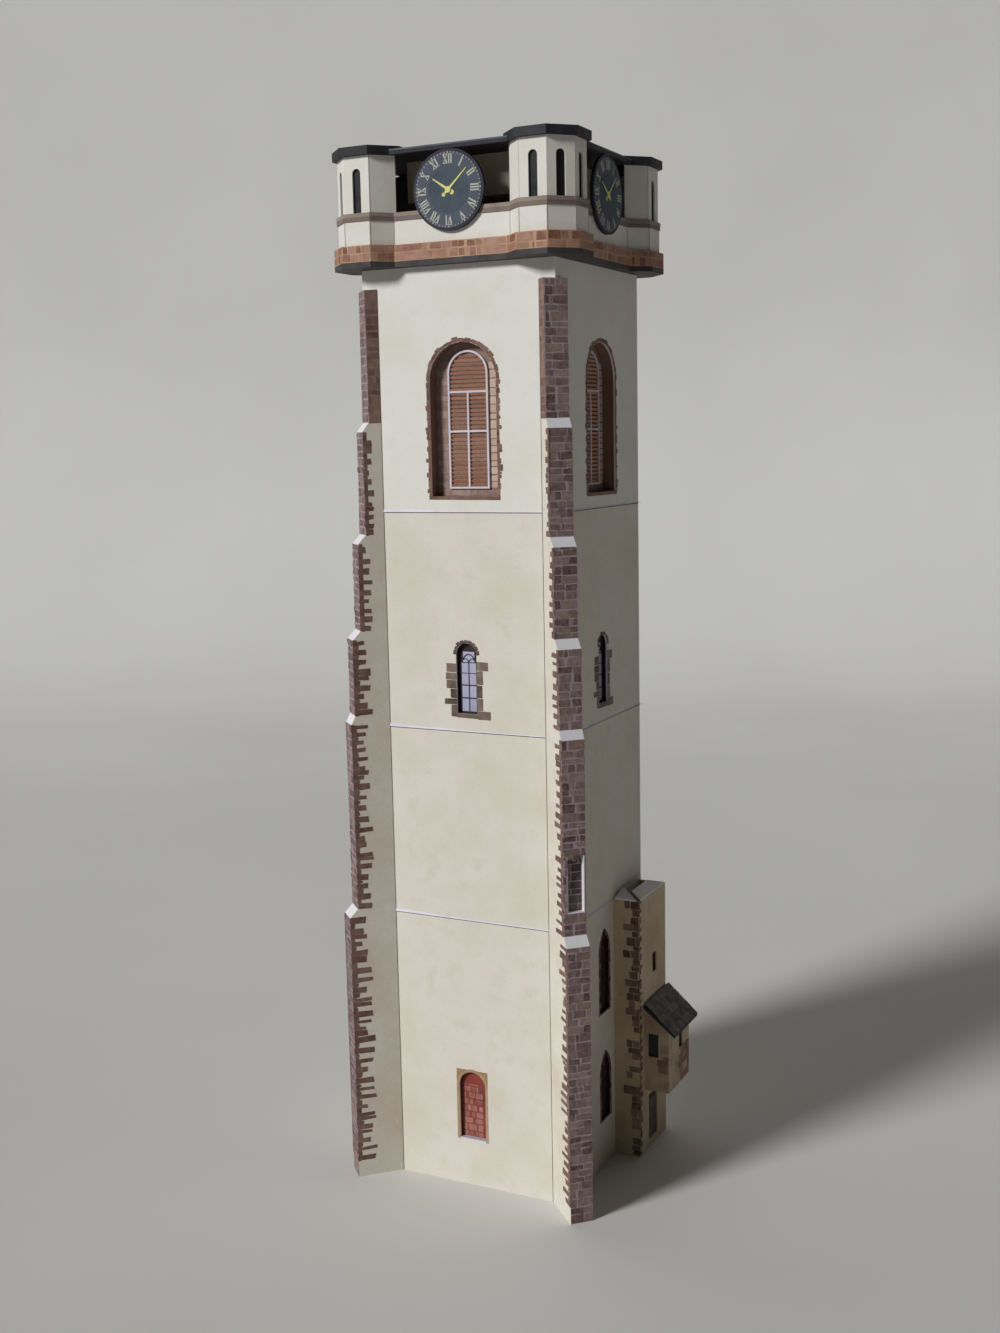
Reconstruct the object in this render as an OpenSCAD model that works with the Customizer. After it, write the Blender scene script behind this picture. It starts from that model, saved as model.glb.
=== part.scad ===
// Card model of a square bell tower with a turreted gallery and a stair annexe.
// Millimetres, +Z up. The origin is the centre of the tower's foot, the clock
// and door front faces -Y and the annexe stands on the +X face.

/* [Tower body] */
// Side of the square tower
tower_w = 60; // [48:1:84]
// Thickness of the card that the walls are folded from
card = 0.5; // [0.3:0.1:1]
// Height of the lowest storey
storey_1_h = 82.4; // [82:0.1:105]
// Height of the second storey
storey_2_h = 56.3; // [40:0.1:80]
// Height of the third storey
storey_3_h = 62.8; // [58:0.1:90]
// Height of the belfry storey
storey_4_h = 68; // [60:0.1:95]

/* [Corner buttresses] */
// Thickness of a buttress across its end face
buttress_t = 6.8; // [4:0.1:9]
// How far stage 1, the lowest, stands out from the tower's corner
stage_1_out = 10.7; // [8.5:0.1:14]
// How far stage 2 stands out
stage_2_out = 8.3; // [7.2:0.1:10.5]
// How far stage 3 stands out
stage_3_out = 7; // [4.8:0.1:8]
// How far stage 4 stands out
stage_4_out = 4.6; // [2.5:0.1:6.8]
// How far stage 5 stands out
stage_5_out = 2.2; // [0.6:0.1:4.4]
// How far stage 6, the highest, stands out
stage_6_out = 0.3; // [0.1:0.1:0.5]
// Height of each sloped set-off between two stages
setoff_h = 2.6; // [1:0.1:4]
// Stage 1 ends this far below the top of storey 1
setoff_1_drop = 0.8; // [0:0.1:4]
// Stage 2 ends this far above the foot of storey 3
setoff_2_up = 1.1; // [0:0.1:6]
// Stage 3 ends this far above the foot of storey 3
setoff_3_up = 26; // [20:0.1:32]
// Stage 4 ends this far above the foot of storey 3
setoff_4_up = 53.7; // [40:0.1:56]
// Stage 5 ends this far above the foot of storey 4
setoff_5_up = 22.9; // [10:0.1:35]
// Gap between a buttress's top and the gallery floor
buttress_gap = 5.5; // [1:0.1:10]
// Width of the niche in the front right buttress
niche_w = 4.9; // [2:0.1:5]
// Height of that niche
niche_h = 16.3; // [8:0.1:24]
// Card left at the niche's outer edge
niche_rim = 0.4; // [0.3:0.1:0.8]
// Depth of that niche
niche_deep = 1.5; // [0.5:0.1:3]
// Sill of that niche above the foot of storey 2
niche_up = 8.3; // [4:0.1:16]

/* [Windows] */
// Width of a belfry opening
belfry_w = 21; // [14:0.1:26]
// Height of a belfry opening
belfry_h = 42.6; // [30:0.1:50]
// Sill of a belfry opening above the foot of storey 4
belfry_up = 4.4; // [2:0.1:10]
// Depth of a belfry recess behind the wall
belfry_deep = 4; // [2:0.1:8]
// Sideways shift of the belfry openings
belfry_shift = 1.2; // [-2:0.1:2]
// Width of a small window
small_w = 6.6; // [4:0.1:12]
// Height of a small window
small_h = 20.4; // [12:0.1:30]
// Sill of a small window above the foot of storey 3
small_up = 5.2; // [2:0.1:20]
// Depth of the small windows behind the wall
small_deep = 1.6; // [0.6:0.1:4]
// Sideways shift of the small windows
small_shift = 0.5; // [-4:0.1:4]
// Width of the blind doorway in the front
doorway_w = 8.6; // [5:0.1:14]
// Height of that doorway
doorway_h = 21.2; // [14:0.1:30]
// Sill of that doorway above the ground
doorway_up = 14.3; // [6:0.1:24]
// Sideways shift of that doorway
doorway_shift = -0.8; // [-4:0.1:4]
// Width of the pointed windows in the right face
pointed_w = 9; // [5:0.1:12]
// Height of the lower pointed window
pointed_low_h = 22.3; // [14:0.1:26]
// Height of the upper pointed window
pointed_high_h = 26.6; // [16:0.1:32]
// Sill of the lower pointed window above the ground
pointed_low_up = 14.4; // [6:0.1:18]
// Sill of the upper pointed window above the ground
pointed_high_up = 48.6; // [46:0.1:52]
// Sideways shift of the pointed windows
pointed_shift = -0.8; // [-2:0.1:0]

/* [Gallery] */
// How far the parapets stand out from the tower
parapet_out = 1.9; // [1:0.1:4]
// Thickness of the parapets and of the turrets' lower walls
parapet_t = 0.8; // [0.5:0.1:1.2]
// Distance across the flats of a corner turret
turret_w = 19.8; // [16:0.1:23]
// How far a turret's centre lies inside the tower's corner, each way
turret_in = 3.1; // [2:0.1:5]
// Thickness of the gallery floor
floor_t = 1.5; // [0.8:0.1:3]
// Height of the sandstone band
band_h = 4.5; // [2:0.1:7]
// How far the sandstone band stands out from the walls
band_out = 1.2; // [0.5:0.1:2]
// Height of the plain wall between the band and the string course
parapet_h = 6.6; // [4:0.1:12]
// Height of the string course and of the coping
course_h = 2.2; // [1:0.1:4]
// How far the string course stands out from the walls
course_out = 0.3; // [0.2:0.1:0.8]
// Height of the turret walls above the string course
turret_h = 15.4; // [13:0.1:24]
// Width of a lancet in a turret
lancet_w = 2.6; // [1.5:0.1:4]
// Height of a lancet
lancet_h = 12; // [6:0.1:12.5]
// Side of the square room in the middle of the gallery
core_w = 40; // [30:0.5:44]

/* [Roof and clock] */
// Thickness of the roof plate
roof_t = 1.4; // [0.6:0.1:2]
// How far the roof plate stands out over the parapets
roof_out = 1.5; // [1.4:0.1:3]
// Thickness of a turret cap
cap_t = 2.4; // [1:0.1:4]
// How far a cap stands out over its turret
cap_out = 1; // [0.4:0.1:2]
// Radius of a clock dial
dial_r = 10.8; // [6:0.1:10.9]
// Thickness of a clock dial
dial_t = 1; // [0.4:0.1:1]

/* [Annexe] */
// How far the annexe stands out from the tower
annexe_out = 8.4; // [6:0.1:14]
// Width of the annexe along the tower's wall
annexe_w = 22.8; // [18:0.1:23.4]
// Distance from the wall's middle to the annexe's front
annexe_from = 6.6; // [5:0.1:7.2]
// The annexe ends this far below the top of storey 1
annexe_drop = 0.3; // [0:0.1:10]
// Depth of the folded tab on the annexe's outer wall
outer_tab = 4.6; // [2:0.1:5]
// Depth of the folded tab on the annexe's front wall
front_tab = 6.4; // [3:0.1:7]
// Rise of the folded tabs, in degrees
tab_rise = 14; // [0:1:25]
// Distance from the annexe's front to the slit window
slit_from = 11.4; // [4:0.1:14]
// Width of the slit window
slit_w = 3.4; // [1:0.1:5]
// Height of the slit window
slit_h = 6.3; // [3:0.1:12]
// Sill of the slit window above the ground
slit_up = 56.2; // [52:0.1:66]
// Distance from the annexe's front to its door
door_from = 7.4; // [2:0.1:9]
// Width of the annexe door
door_w = 7.4; // [4:0.1:8.4]
// Height of the annexe door
door_h = 15; // [10:0.1:15]
// Sill of the annexe door above the ground
door_up = 2.5; // [0.6:0.1:2.8]

/* [Oriel] */
// How far the oriel stands out from the annexe
oriel_out = 7.8; // [5:0.1:12]
// Distance from the annexe's front to the oriel's front
oriel_from = 4.4; // [2:0.1:6]
// Underside of the oriel above the ground
oriel_up = 20.5; // [20.5:0.1:24]
// Height of the oriel's front wall where it meets the annexe
oriel_h = 26.9; // [26:0.1:30]
// Slope of the oriel's roof, in degrees
oriel_slope = 38.8; // [25:0.2:45]
// How far the oriel's roof stands out in front
eave_out = 2.4; // [0.5:0.1:4]
// How far the oriel's roof stands out at its ends
verge_out = 1.4; // [0.2:0.1:2]
// Thickness of the oriel's roof, measured upright
oriel_roof_t = 1; // [0.5:0.1:2]
// Sill of the oriel's windows above its underside
oriel_sill = 11; // [4:0.1:12]
// Height of the oriel's windows
oriel_window_h = 7.5; // [4:0.1:7.8]
// Width of the oriel's windows
oriel_window_w = 3.4; // [2:0.1:4.4]
// Distance from the annexe to the oriel's side window
side_window_from = 1; // [0.6:0.1:2]
// Distance from the oriel's front corner to its outer window
outer_window_from = 9.2; // [2:0.1:10]

/* [Hidden] */
$fn = 64;

// The four faces, as quarter turns from the front, and the corners, in degrees
FRONT = 0;
RIGHT = 1;
BACK = 2;
LEFT = 3;
FRONT_RIGHT = -45;
BACK_RIGHT = 45;
BACK_LEFT = 135;
FRONT_LEFT = 225;

half = tower_w / 2;
foot = [0, storey_1_h, storey_1_h + storey_2_h, storey_1_h + storey_2_h + storey_3_h];
storey_h = [storey_1_h, storey_2_h, storey_3_h, storey_4_h];
tower_top = foot[3] + storey_4_h;
cut = 1;                       // how far a cutting shape runs past what it cuts

// Upper end of each buttress stage, and how far it stands out
stage_top = [foot[1] - setoff_1_drop, foot[2] + setoff_2_up, foot[2] + setoff_3_up,
             foot[2] + setoff_4_up, foot[3] + setoff_5_up];
stage_out = [stage_1_out, stage_2_out, stage_3_out, stage_4_out, stage_5_out, stage_6_out];
buttress_top = tower_top - buttress_gap;
corner_r = half * sqrt(2);

// Gallery levels and plan
floor_top = tower_top + floor_t;
band_top = floor_top + band_h;
parapet_top = band_top + parapet_h;
course_top = parapet_top + course_h;
wall_top = course_top + turret_h;
parapet_r = half + parapet_out;
turret_c = half - turret_in;
turret_a = turret_w / 2;
turret_t = parapet_t - course_out;

// Annexe and oriel planes
annexe_top = storey_1_h - annexe_drop;
annexe_x = half + annexe_out;
annexe_back_y = annexe_from + annexe_w;
oriel_x = annexe_x + oriel_out;
oriel_y = annexe_from + oriel_from;
oriel_w = annexe_back_y - oriel_y;
oriel_fall = tan(oriel_slope);
oriel_wall_top = oriel_up + oriel_h;
eave_run = oriel_out + eave_out;
eave_z = oriel_wall_top - eave_run * oriel_fall;

// ---- Shapes that repeat ----

module on_face(side) rotate([0, 0, 90 * side]) children();

// A flat shape stood up in a wall: x along the wall, y up, pushed inwards
module pushed(side, along, up, from, deep)
    on_face(side)
        translate([along, from + deep - half, up])
            rotate([90, 0, 0])
                linear_extrude(deep)
                    children();

module round_arch(w, h) {
    translate([-w / 2, 0]) square([w, h - w / 2]);
    translate([0, h - w / 2]) circle(r = w / 2);
}

module pointed_arch(w, h) {
    spring = h - w * sqrt(3) / 2;
    translate([-w / 2, 0]) square([w, spring]);
    intersection() {
        translate([-w / 2, spring]) circle(r = w);
        translate([w / 2, spring]) circle(r = w);
        translate([-w / 2, spring - cut]) square([w, w + cut]);
    }
}

module octagon(apothem) rotate(22.5) circle(r = apothem / cos(22.5), $fn = 8);

module at_corners()
    for (x = [-1, 1], y = [-1, 1])
        translate([x * turret_c, y * turret_c]) children();

// Plan of the gallery's outer walls, grown by a margin
module gallery_plan(grow) {
    square(2 * (parapet_r + grow), center = true);
    at_corners() octagon(turret_a + grow);
}

module slab(low, high) translate([0, 0, low]) linear_extrude(high - low) children();

// ---- Tower body ----

module base_plate()
    color("tan")
        translate([card - half, card - half, 0])
            cube([tower_w - 2 * card, tower_w - 2 * card, card]);

// Front and back walls run the full width, and the side walls fit between them
module wall(storey, side) {
    w = side % 2 == 0 ? tower_w : tower_w - 2 * card;
    color(storey == 3 ? "whitesmoke" : "antiquewhite")
        difference() {
            pushed(side, 0, foot[storey], 0, card)
                translate([-w / 2, 0]) square([w, storey_h[storey]]);
            wall_openings(storey, side);
        }
}

module wall_openings(storey, side) {
    if (storey == 3)
        pushed(side, belfry_shift, foot[3] + belfry_up, -cut, card + 2 * cut)
            round_arch(belfry_w, belfry_h);
    if (storey == 2)
        pushed(side, small_shift, foot[2] + small_up, -cut, card + 2 * cut)
            round_arch(small_w, small_h);
    if (storey == 0 && side == FRONT)
        pushed(side, doorway_shift, doorway_up, -cut, card + 2 * cut)
            round_arch(doorway_w, doorway_h);
    if (storey == 0 && side == RIGHT) {
        pushed(side, pointed_shift, pointed_low_up, -cut, card + 2 * cut)
            pointed_arch(pointed_w, pointed_low_h);
        pushed(side, pointed_shift, pointed_high_up, -cut, card + 2 * cut)
            pointed_arch(pointed_w, pointed_high_h);
    }
}

// Side view of a buttress, from the tower's corner outwards
module buttress_outline() {
    steps = [for (i = [0:4]) each [[stage_out[i], stage_top[i]],
                                   [stage_out[i + 1], stage_top[i] + setoff_h]]];
    polygon(concat([[-buttress_t / 2, 0], [stage_1_out, 0]], steps,
                   [[stage_6_out, buttress_top], [-buttress_t / 2, buttress_top]]));
}

module buttress(corner, niche = false)
    color("rosybrown")
        difference() {
            rotate([0, 0, corner])
                translate([corner_r, 0, 0])
                    rotate([90, 0, 0])
                        linear_extrude(buttress_t, center = true)
                            buttress_outline();
            translate([-half, -half, -cut])
                cube([tower_w, tower_w, tower_top + 2 * cut]);
            if (niche)
                rotate([0, 0, corner])
                    translate([corner_r + stage_2_out - niche_deep,
                               buttress_t / 2 - niche_w - niche_rim, foot[1] + niche_up])
                        cube([niche_deep + cut, niche_w, niche_h]);
        }

// ---- Windows: a card reveal behind the wall, closed by a printed panel ----

module round_recess(side, along, up, w, h, deep)
    difference() {
        pushed(side, along, up - card, card, deep) round_arch(w + 2 * card, h + 2 * card);
        pushed(side, along, up, card - cut, deep - card + cut) round_arch(w, h);
    }

module pointed_recess(side, along, up, w, h, deep)
    difference() {
        pushed(side, along, up - card, card, deep) pointed_arch(w + 2 * card, h + 2 * card);
        pushed(side, along, up, card - cut, deep - card + cut) pointed_arch(w, h);
    }

module belfry_window(side)
    color("sienna")
        round_recess(side, belfry_shift, foot[3] + belfry_up, belfry_w, belfry_h, belfry_deep);

module small_windows()
    color("lightsteelblue")
        for (side = [FRONT, RIGHT, BACK, LEFT])
            round_recess(side, small_shift, foot[2] + small_up, small_w, small_h, small_deep);

module pointed_windows()
    color("maroon") {
        pointed_recess(RIGHT, pointed_shift, pointed_low_up, pointed_w, pointed_low_h, small_deep);
        pointed_recess(RIGHT, pointed_shift, pointed_high_up, pointed_w, pointed_high_h, small_deep);
    }

module blind_doorway()
    color("brown")
        round_recess(FRONT, doorway_shift, doorway_up, doorway_w, doorway_h, small_deep);

// ---- Gallery ----

module gallery_floor()
    color("dimgray")
        slab(tower_top, floor_top) gallery_plan(band_out);

module sandstone_band()
    color("indianred")
        slab(floor_top, band_top)
            difference() {
                gallery_plan(band_out);
                gallery_plan(0);
            }

// Straight walls between the turrets, up to the coping
module parapets()
    color("white")
        for (side = [FRONT, RIGHT, BACK, LEFT])
            slab(floor_top, parapet_top)
                difference() {
                    rotate(90 * side)
                        translate([-turret_c, -parapet_r]) square([2 * turret_c, parapet_t]);
                    at_corners() octagon(turret_a);
                }

// One ring: a band round each turret and a coping on each parapet
module string_course()
    color("gray")
        slab(parapet_top, course_top)
            difference() {
                gallery_plan(course_out);
                at_corners() octagon(turret_a);
                square(2 * (parapet_r - parapet_t), center = true);
            }

// Five walls of an octagon, open to the gallery, with a lancet in each outer one
module turret(corner)
    color("linen")
        difference() {
            rotate([0, 0, corner])
                translate([turret_c * sqrt(2), 0, 0])
                    difference() {
                        turret_shell();
                        for (turn = [-45, 0, 45])
                            rotate([0, 0, turn])
                                translate([turret_a - parapet_t - cut, 0, course_top])
                                    rotate([90, 0, 90])
                                        linear_extrude(parapet_t + 2 * cut)
                                            round_arch(lancet_w, lancet_h);
                    }
            slab(floor_top - cut, wall_top + cut)
                square(2 * (parapet_r - parapet_t), center = true);
        }

// The wall above the string course stands back from the wall below it
module turret_shell() {
    slab(floor_top, course_top)
        difference() {
            octagon(turret_a);
            octagon(turret_a - parapet_t);
        }
    slab(course_top, wall_top)
        difference() {
            octagon(turret_a - course_out);
            octagon(turret_a - course_out - turret_t);
        }
}

module gallery_core()
    color("burlywood")
        slab(floor_top, wall_top)
            difference() {
                square(core_w, center = true);
                square(core_w - 2 * card, center = true);
            }

// ---- Roof and clock ----

module roof_plate()
    color("black")
        slab(wall_top, wall_top + roof_t)
            difference() {
                square(2 * (parapet_r + roof_out), center = true);
                at_corners() octagon(turret_a + cap_out);
            }

module turret_caps()
    color("black")
        slab(wall_top, wall_top + cap_t)
            at_corners() octagon(turret_a + cap_out);

// Each dial stands on the coping's face, with its top under the roof's edge
module clock_dials()
    color("slategray")
        for (side = [FRONT, RIGHT, BACK, LEFT])
            on_face(side)
                translate([0, -parapet_r - course_out, wall_top - dial_r])
                    rotate([90, 0, 0])
                        cylinder(r = dial_r, h = dial_t);

// ---- Annexe on the right face ----

module annexe_front()
    color("bisque")
        translate([half, annexe_from, 0]) cube([annexe_out, card, annexe_top]);

module annexe_outer()
    color("bisque")
        difference() {
            translate([annexe_x - card, annexe_from + card, 0])
                cube([card, annexe_w - 2 * card, annexe_top]);
            translate([annexe_x - card - cut, annexe_from + slit_from, slit_up])
                cube([card + 2 * cut, slit_w, slit_h]);
            translate([annexe_x - card - cut, annexe_from + door_from, door_up])
                cube([card + 2 * cut, door_w, door_h]);
        }

module annexe_back()
    color("bisque")
        translate([half, annexe_back_y - card, 0]) cube([annexe_out, card, annexe_top]);

// Two mitred flaps folded in from the walls' top edges
module annexe_tabs()
    color("white") {
        translate([annexe_x, annexe_from, annexe_top])
            rotate([0, tab_rise, 0])
                slab(0, card)
                    polygon([[0, outer_tab / 4], [0, annexe_w - outer_tab / 4],
                             [-outer_tab, annexe_w - outer_tab], [-outer_tab, outer_tab * 1.2]]);
        translate([half, annexe_from, annexe_top])
            rotate([tab_rise, 0, 0])
                slab(0, card)
                    polygon([[card, 0], [annexe_out - outer_tab / 6, 0],
                             [annexe_out - outer_tab / 6 - front_tab, front_tab], [card, front_tab]]);
    }

module annexe_door()
    color("saddlebrown")
        translate([annexe_x - 2 * card, annexe_from + door_from - card, door_up - card])
            cube([card, door_w + 2 * card, door_h + 2 * card]);

// ---- Oriel on the annexe ----

// Side view of a wall under the sloping roof, from the annexe outwards
module oriel_end()
    polygon([[0, oriel_up], [oriel_out, oriel_up],
             [oriel_out, oriel_wall_top - oriel_out * oriel_fall], [0, oriel_wall_top]]);

module oriel_walls()
    color("wheat")
        difference() {
            translate([annexe_x, annexe_back_y, 0])
                rotate([90, 0, 0])
                    linear_extrude(oriel_w)
                        oriel_end();
            translate([annexe_x - cut, oriel_y + card, oriel_up + card])
                cube([oriel_out + cut - card, oriel_w - 2 * card, oriel_h]);
            translate([annexe_x + side_window_from, oriel_y - cut, oriel_up + oriel_sill])
                cube([oriel_window_w, card + 2 * cut, oriel_window_h]);
            translate([oriel_x - card - cut, oriel_y + outer_window_from, oriel_up + oriel_sill])
                cube([card + 2 * cut, oriel_window_w, oriel_window_h]);
        }

module oriel_roof()
    color("darkslategray")
        translate([annexe_x, annexe_back_y + verge_out, 0])
            rotate([90, 0, 0])
                linear_extrude(oriel_w + 2 * verge_out)
                    polygon([[0, oriel_wall_top], [eave_run, eave_z],
                             [eave_run, eave_z + oriel_roof_t], [0, oriel_wall_top + oriel_roof_t]]);

base_plate();
wall(0, FRONT);  // storey_1_front
wall(0, RIGHT);  // storey_1_right
wall(0, BACK);  // storey_1_back
wall(0, LEFT);  // storey_1_left
wall(1, FRONT);  // storey_2_front
wall(1, RIGHT);  // storey_2_right
wall(1, BACK);  // storey_2_back
wall(1, LEFT);  // storey_2_left
wall(2, FRONT);  // storey_3_front
wall(2, RIGHT);  // storey_3_right
wall(2, BACK);  // storey_3_back
wall(2, LEFT);  // storey_3_left
wall(3, FRONT);  // storey_4_front
wall(3, RIGHT);  // storey_4_right
wall(3, BACK);  // storey_4_back
wall(3, LEFT);  // storey_4_left
buttress(FRONT_RIGHT, niche = true);  // buttress_front_right
buttress(FRONT_LEFT);  // buttress_front_left
belfry_window(FRONT);  // belfry_window_front
belfry_window(RIGHT);  // belfry_window_right
belfry_window(BACK);  // belfry_window_back
belfry_window(LEFT);  // belfry_window_left
small_windows();
pointed_windows();
blind_doorway();
gallery_floor();
sandstone_band();
parapets();
string_course();
turret(FRONT_RIGHT);  // turret_front_right
turret(BACK_RIGHT);  // turret_back_right
turret(BACK_LEFT);  // turret_back_left
turret(FRONT_LEFT);  // turret_front_left
gallery_core();
roof_plate();
turret_caps();
clock_dials();
annexe_front();
annexe_outer();
annexe_back();
annexe_tabs();
annexe_door();
oriel_walls();
oriel_roof();
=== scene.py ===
"""Finish and small parts of a card model of a bell tower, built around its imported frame."""

import math
import random

import bmesh
import bpy
from bpy.props import FloatProperty, FloatVectorProperty, PointerProperty
from mathutils import Matrix, Vector


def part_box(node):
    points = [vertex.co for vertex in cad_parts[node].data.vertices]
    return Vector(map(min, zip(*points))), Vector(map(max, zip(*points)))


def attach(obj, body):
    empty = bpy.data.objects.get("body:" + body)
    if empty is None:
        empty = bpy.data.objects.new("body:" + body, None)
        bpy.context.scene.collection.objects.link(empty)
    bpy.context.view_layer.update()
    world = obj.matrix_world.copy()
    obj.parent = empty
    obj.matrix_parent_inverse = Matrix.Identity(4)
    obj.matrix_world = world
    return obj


bl_info = {
    "name": "Card Bell Tower",
    "version": (1, 0, 0),
    "blender": (4, 5, 0),
    "location": "View3D > Sidebar > Card Tower",
    "description": "Adds the printed finish, windows, stones and dials of a card bell tower",
    "category": "Object",
}

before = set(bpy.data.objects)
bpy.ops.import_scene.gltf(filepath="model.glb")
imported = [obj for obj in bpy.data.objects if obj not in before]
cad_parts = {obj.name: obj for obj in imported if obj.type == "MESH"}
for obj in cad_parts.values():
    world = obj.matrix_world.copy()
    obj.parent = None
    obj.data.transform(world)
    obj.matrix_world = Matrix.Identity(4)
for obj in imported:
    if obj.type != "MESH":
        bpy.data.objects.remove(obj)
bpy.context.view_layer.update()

MM = 0.001
SIDES = ("front", "right", "back", "left")
AXES = {"front": (0, 1, 0), "right": (1, 0, 0), "back": (0, 1, 0), "left": (1, 0, 0)}
TURRETS = {"front_right": (1, -1), "back_right": (1, 1), "back_left": (-1, 1), "front_left": (-1, -1)}
NUMERALS = ("XII", "I", "II", "III", "IV", "V", "VI", "VII", "VIII", "IX", "X", "XI")


# ---- Places, read from the frame ----

def low(node):
    """Lowest corner of a node."""
    return Vector(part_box(node)[0])


def high(node):
    """Highest corner of a node."""
    return Vector(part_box(node)[1])


def plane(origin, right, up):
    """A flat place to build on: local x runs right, y runs up, and z comes out of it."""
    right, up = Vector(right).normalized(), Vector(up).normalized()
    place = Matrix((right, up, right.cross(up))).transposed().to_4x4()
    place.translation = Vector(origin)
    return place


CARD = high("base_plate").z
HALF = high("storey_1_front").x
SEAMS = [high("storey_%d_front" % storey).z for storey in (1, 2, 3)]
CORNER_R = HALF * math.sqrt(2)
UP = Vector((0, 0, 1))


def turned(side):
    """Turn about the tower's axis that brings the front to a side."""
    return Matrix.Rotation(math.radians(90 * SIDES.index(side)), 4, "Z")


def wall(side, out=0.0):
    """The plane of a tower wall, moved out by a distance."""
    return turned(side) @ plane((0, -HALF - out, 0), (1, 0, 0), UP)


def opening(node, side, lowest=0.0, highest=1.0):
    """Opening in front of a window recess: left, right, sill, top and depth, in the wall's plane."""
    back = wall(side).inverted()
    points = [back @ vert.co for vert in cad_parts[node].data.vertices]
    points = [p for p in points if abs(p.z) < HALF / 3 and abs(p.x) < HALF * 0.7 and lowest < p.y < highest]
    xs, ys, zs = zip(*points)
    return min(xs) + CARD, max(xs) - CARD, min(ys) + CARD, max(ys) - CARD, -min(zs) - CARD


def buttress_stages(node, corner):
    """Each stage of a buttress as (distance of its end face from the tower's axis, foot, top)."""
    back = Matrix.Rotation(-corner, 4, "Z")
    points = [back @ vert.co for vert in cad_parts[node].data.vertices]
    levels = {}
    for point in points:
        if point.x > CORNER_R + 0.1 * MM and abs(abs(point.y) - BUTTRESS_T / 2) < 0.01 * MM:
            levels.setdefault(round(point.x, 5), []).append(point.z)
    return [(out, min(zs), max(zs)) for out, zs in sorted(levels.items(), reverse=True)]


def buttress_thickness():
    """Width across a buttress's end face."""
    back = Matrix.Rotation(math.radians(45), 4, "Z")
    ys = [(back @ vert.co).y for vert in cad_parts["buttress_front_right"].data.vertices]
    return max(ys) - min(ys)


BUTTRESS_T = buttress_thickness()
CORNERS = {"front_right": math.radians(-45), "front_left": math.radians(225)}


def turret_plan():
    """Centre distance and apothem of the front right turret's octagon."""
    verts = [vert.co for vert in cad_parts["turret_front_right"].data.vertices]
    outer = max(co.x for co in verts)
    ys = [co.y for co in verts if co.x > outer - 0.01 * MM]
    half_side = (max(ys) - min(ys)) / 2
    return -(max(ys) + min(ys)) / 2, half_side / math.tan(math.radians(22.5))


TURRET_C, TURRET_A = turret_plan()


# ---- Settings ----

def tint(red, green, blue):
    """Display colour, 0 to 255, as the linear colour that a shader takes."""
    def channel(value):
        value /= 255
        return value / 12.92 if value <= 0.04045 else ((value + 0.055) / 1.055) ** 2.4
    return tuple(channel(value) for value in (red, green, blue))


def colour(name, description, value):
    """A colour setting."""
    return FloatVectorProperty(name=name, description=description, default=tint(*value), min=0, max=1,
                               subtype="COLOR")


def length(name, description, millimetres):
    """A length setting."""
    return FloatProperty(name=name, description=description, default=millimetres * MM, min=0,
                         subtype="DISTANCE", unit="LENGTH")


class PrintSettings(bpy.types.PropertyGroup):
    """Colours of the printed card."""

    white_plaster: colour("White plaster", "Walls of the belfry and the gallery", (226, 224, 216))
    cream_plaster: colour("Cream plaster", "Walls of the lower storeys", (221, 216, 204))
    annexe_plaster: colour("Annexe plaster", "Walls of the stair annexe", (206, 188, 160))
    stone: colour("Buttress stone", "Rubble and quoins of the buttresses", (110, 82, 84))
    joint: colour("Joints", "Mortar between the rubble stones", (164, 146, 156))
    umber: colour("Window stone", "Stones round the windows", (116, 66, 44))
    sandstone: colour("Sandstone", "Blocks of the band under the gallery", (164, 100, 70))
    sand_joint: colour("Sandstone joints", "Joints between the sandstone blocks", (190, 156, 124))
    louvre: colour("Louvres", "Slats of the belfry windows", (172, 110, 76))
    frame_white: colour("Window frames", "Frames and bars of the belfry windows", (214, 206, 214))
    black_card: colour("Black card", "Roof plate and turret caps", (30, 29, 38))
    bare_card: colour("Bare card", "Glue tabs and cut edges", (232, 230, 234))


class StoneSettings(bpy.types.PropertyGroup):
    """Sizes of the printed stones and of the window bars."""

    lift: length("Stone lift", "How far a printed stone stands out", 0.05)
    course: length("Course", "Usual height of a course of rubble", 2.1)
    gap: length("Joint", "Width of a joint", 0.36)
    bar: length("Window bar", "Width of a belfry window's bars", 0.55)
    pitch: length("Louvre pitch", "Distance from one louvre to the next", 1.15)


class DialSettings(bpy.types.PropertyGroup):
    """The clock dials."""

    ring: colour("Chapter ring", "Ring that carries the numerals", (70, 78, 92))
    centre: colour("Centre", "Middle of the dial", (62, 76, 88))
    rim: colour("Rim", "Edge of the dial", (34, 36, 52))
    numeral: colour("Numerals", "Numerals on the dial", (184, 186, 170))
    hand: colour("Hands", "Hour and minute hands", (222, 218, 128))
    hour: FloatProperty(name="Hour", description="Time that the dials show, in hours", default=10.13,
                        min=0, max=12)


# ---- Shader groups and materials ----

def new_group(name, inputs, outputs):
    """An empty shader node group with its sockets."""
    group = bpy.data.node_groups.new(name, "ShaderNodeTree")
    for label, kind, value in inputs:
        socket = group.interface.new_socket(name=label, in_out="INPUT", socket_type=kind)
        if value is not None:
            socket.default_value = value
    for label, kind in outputs:
        group.interface.new_socket(name=label, in_out="OUTPUT", socket_type=kind)
    return group


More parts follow.
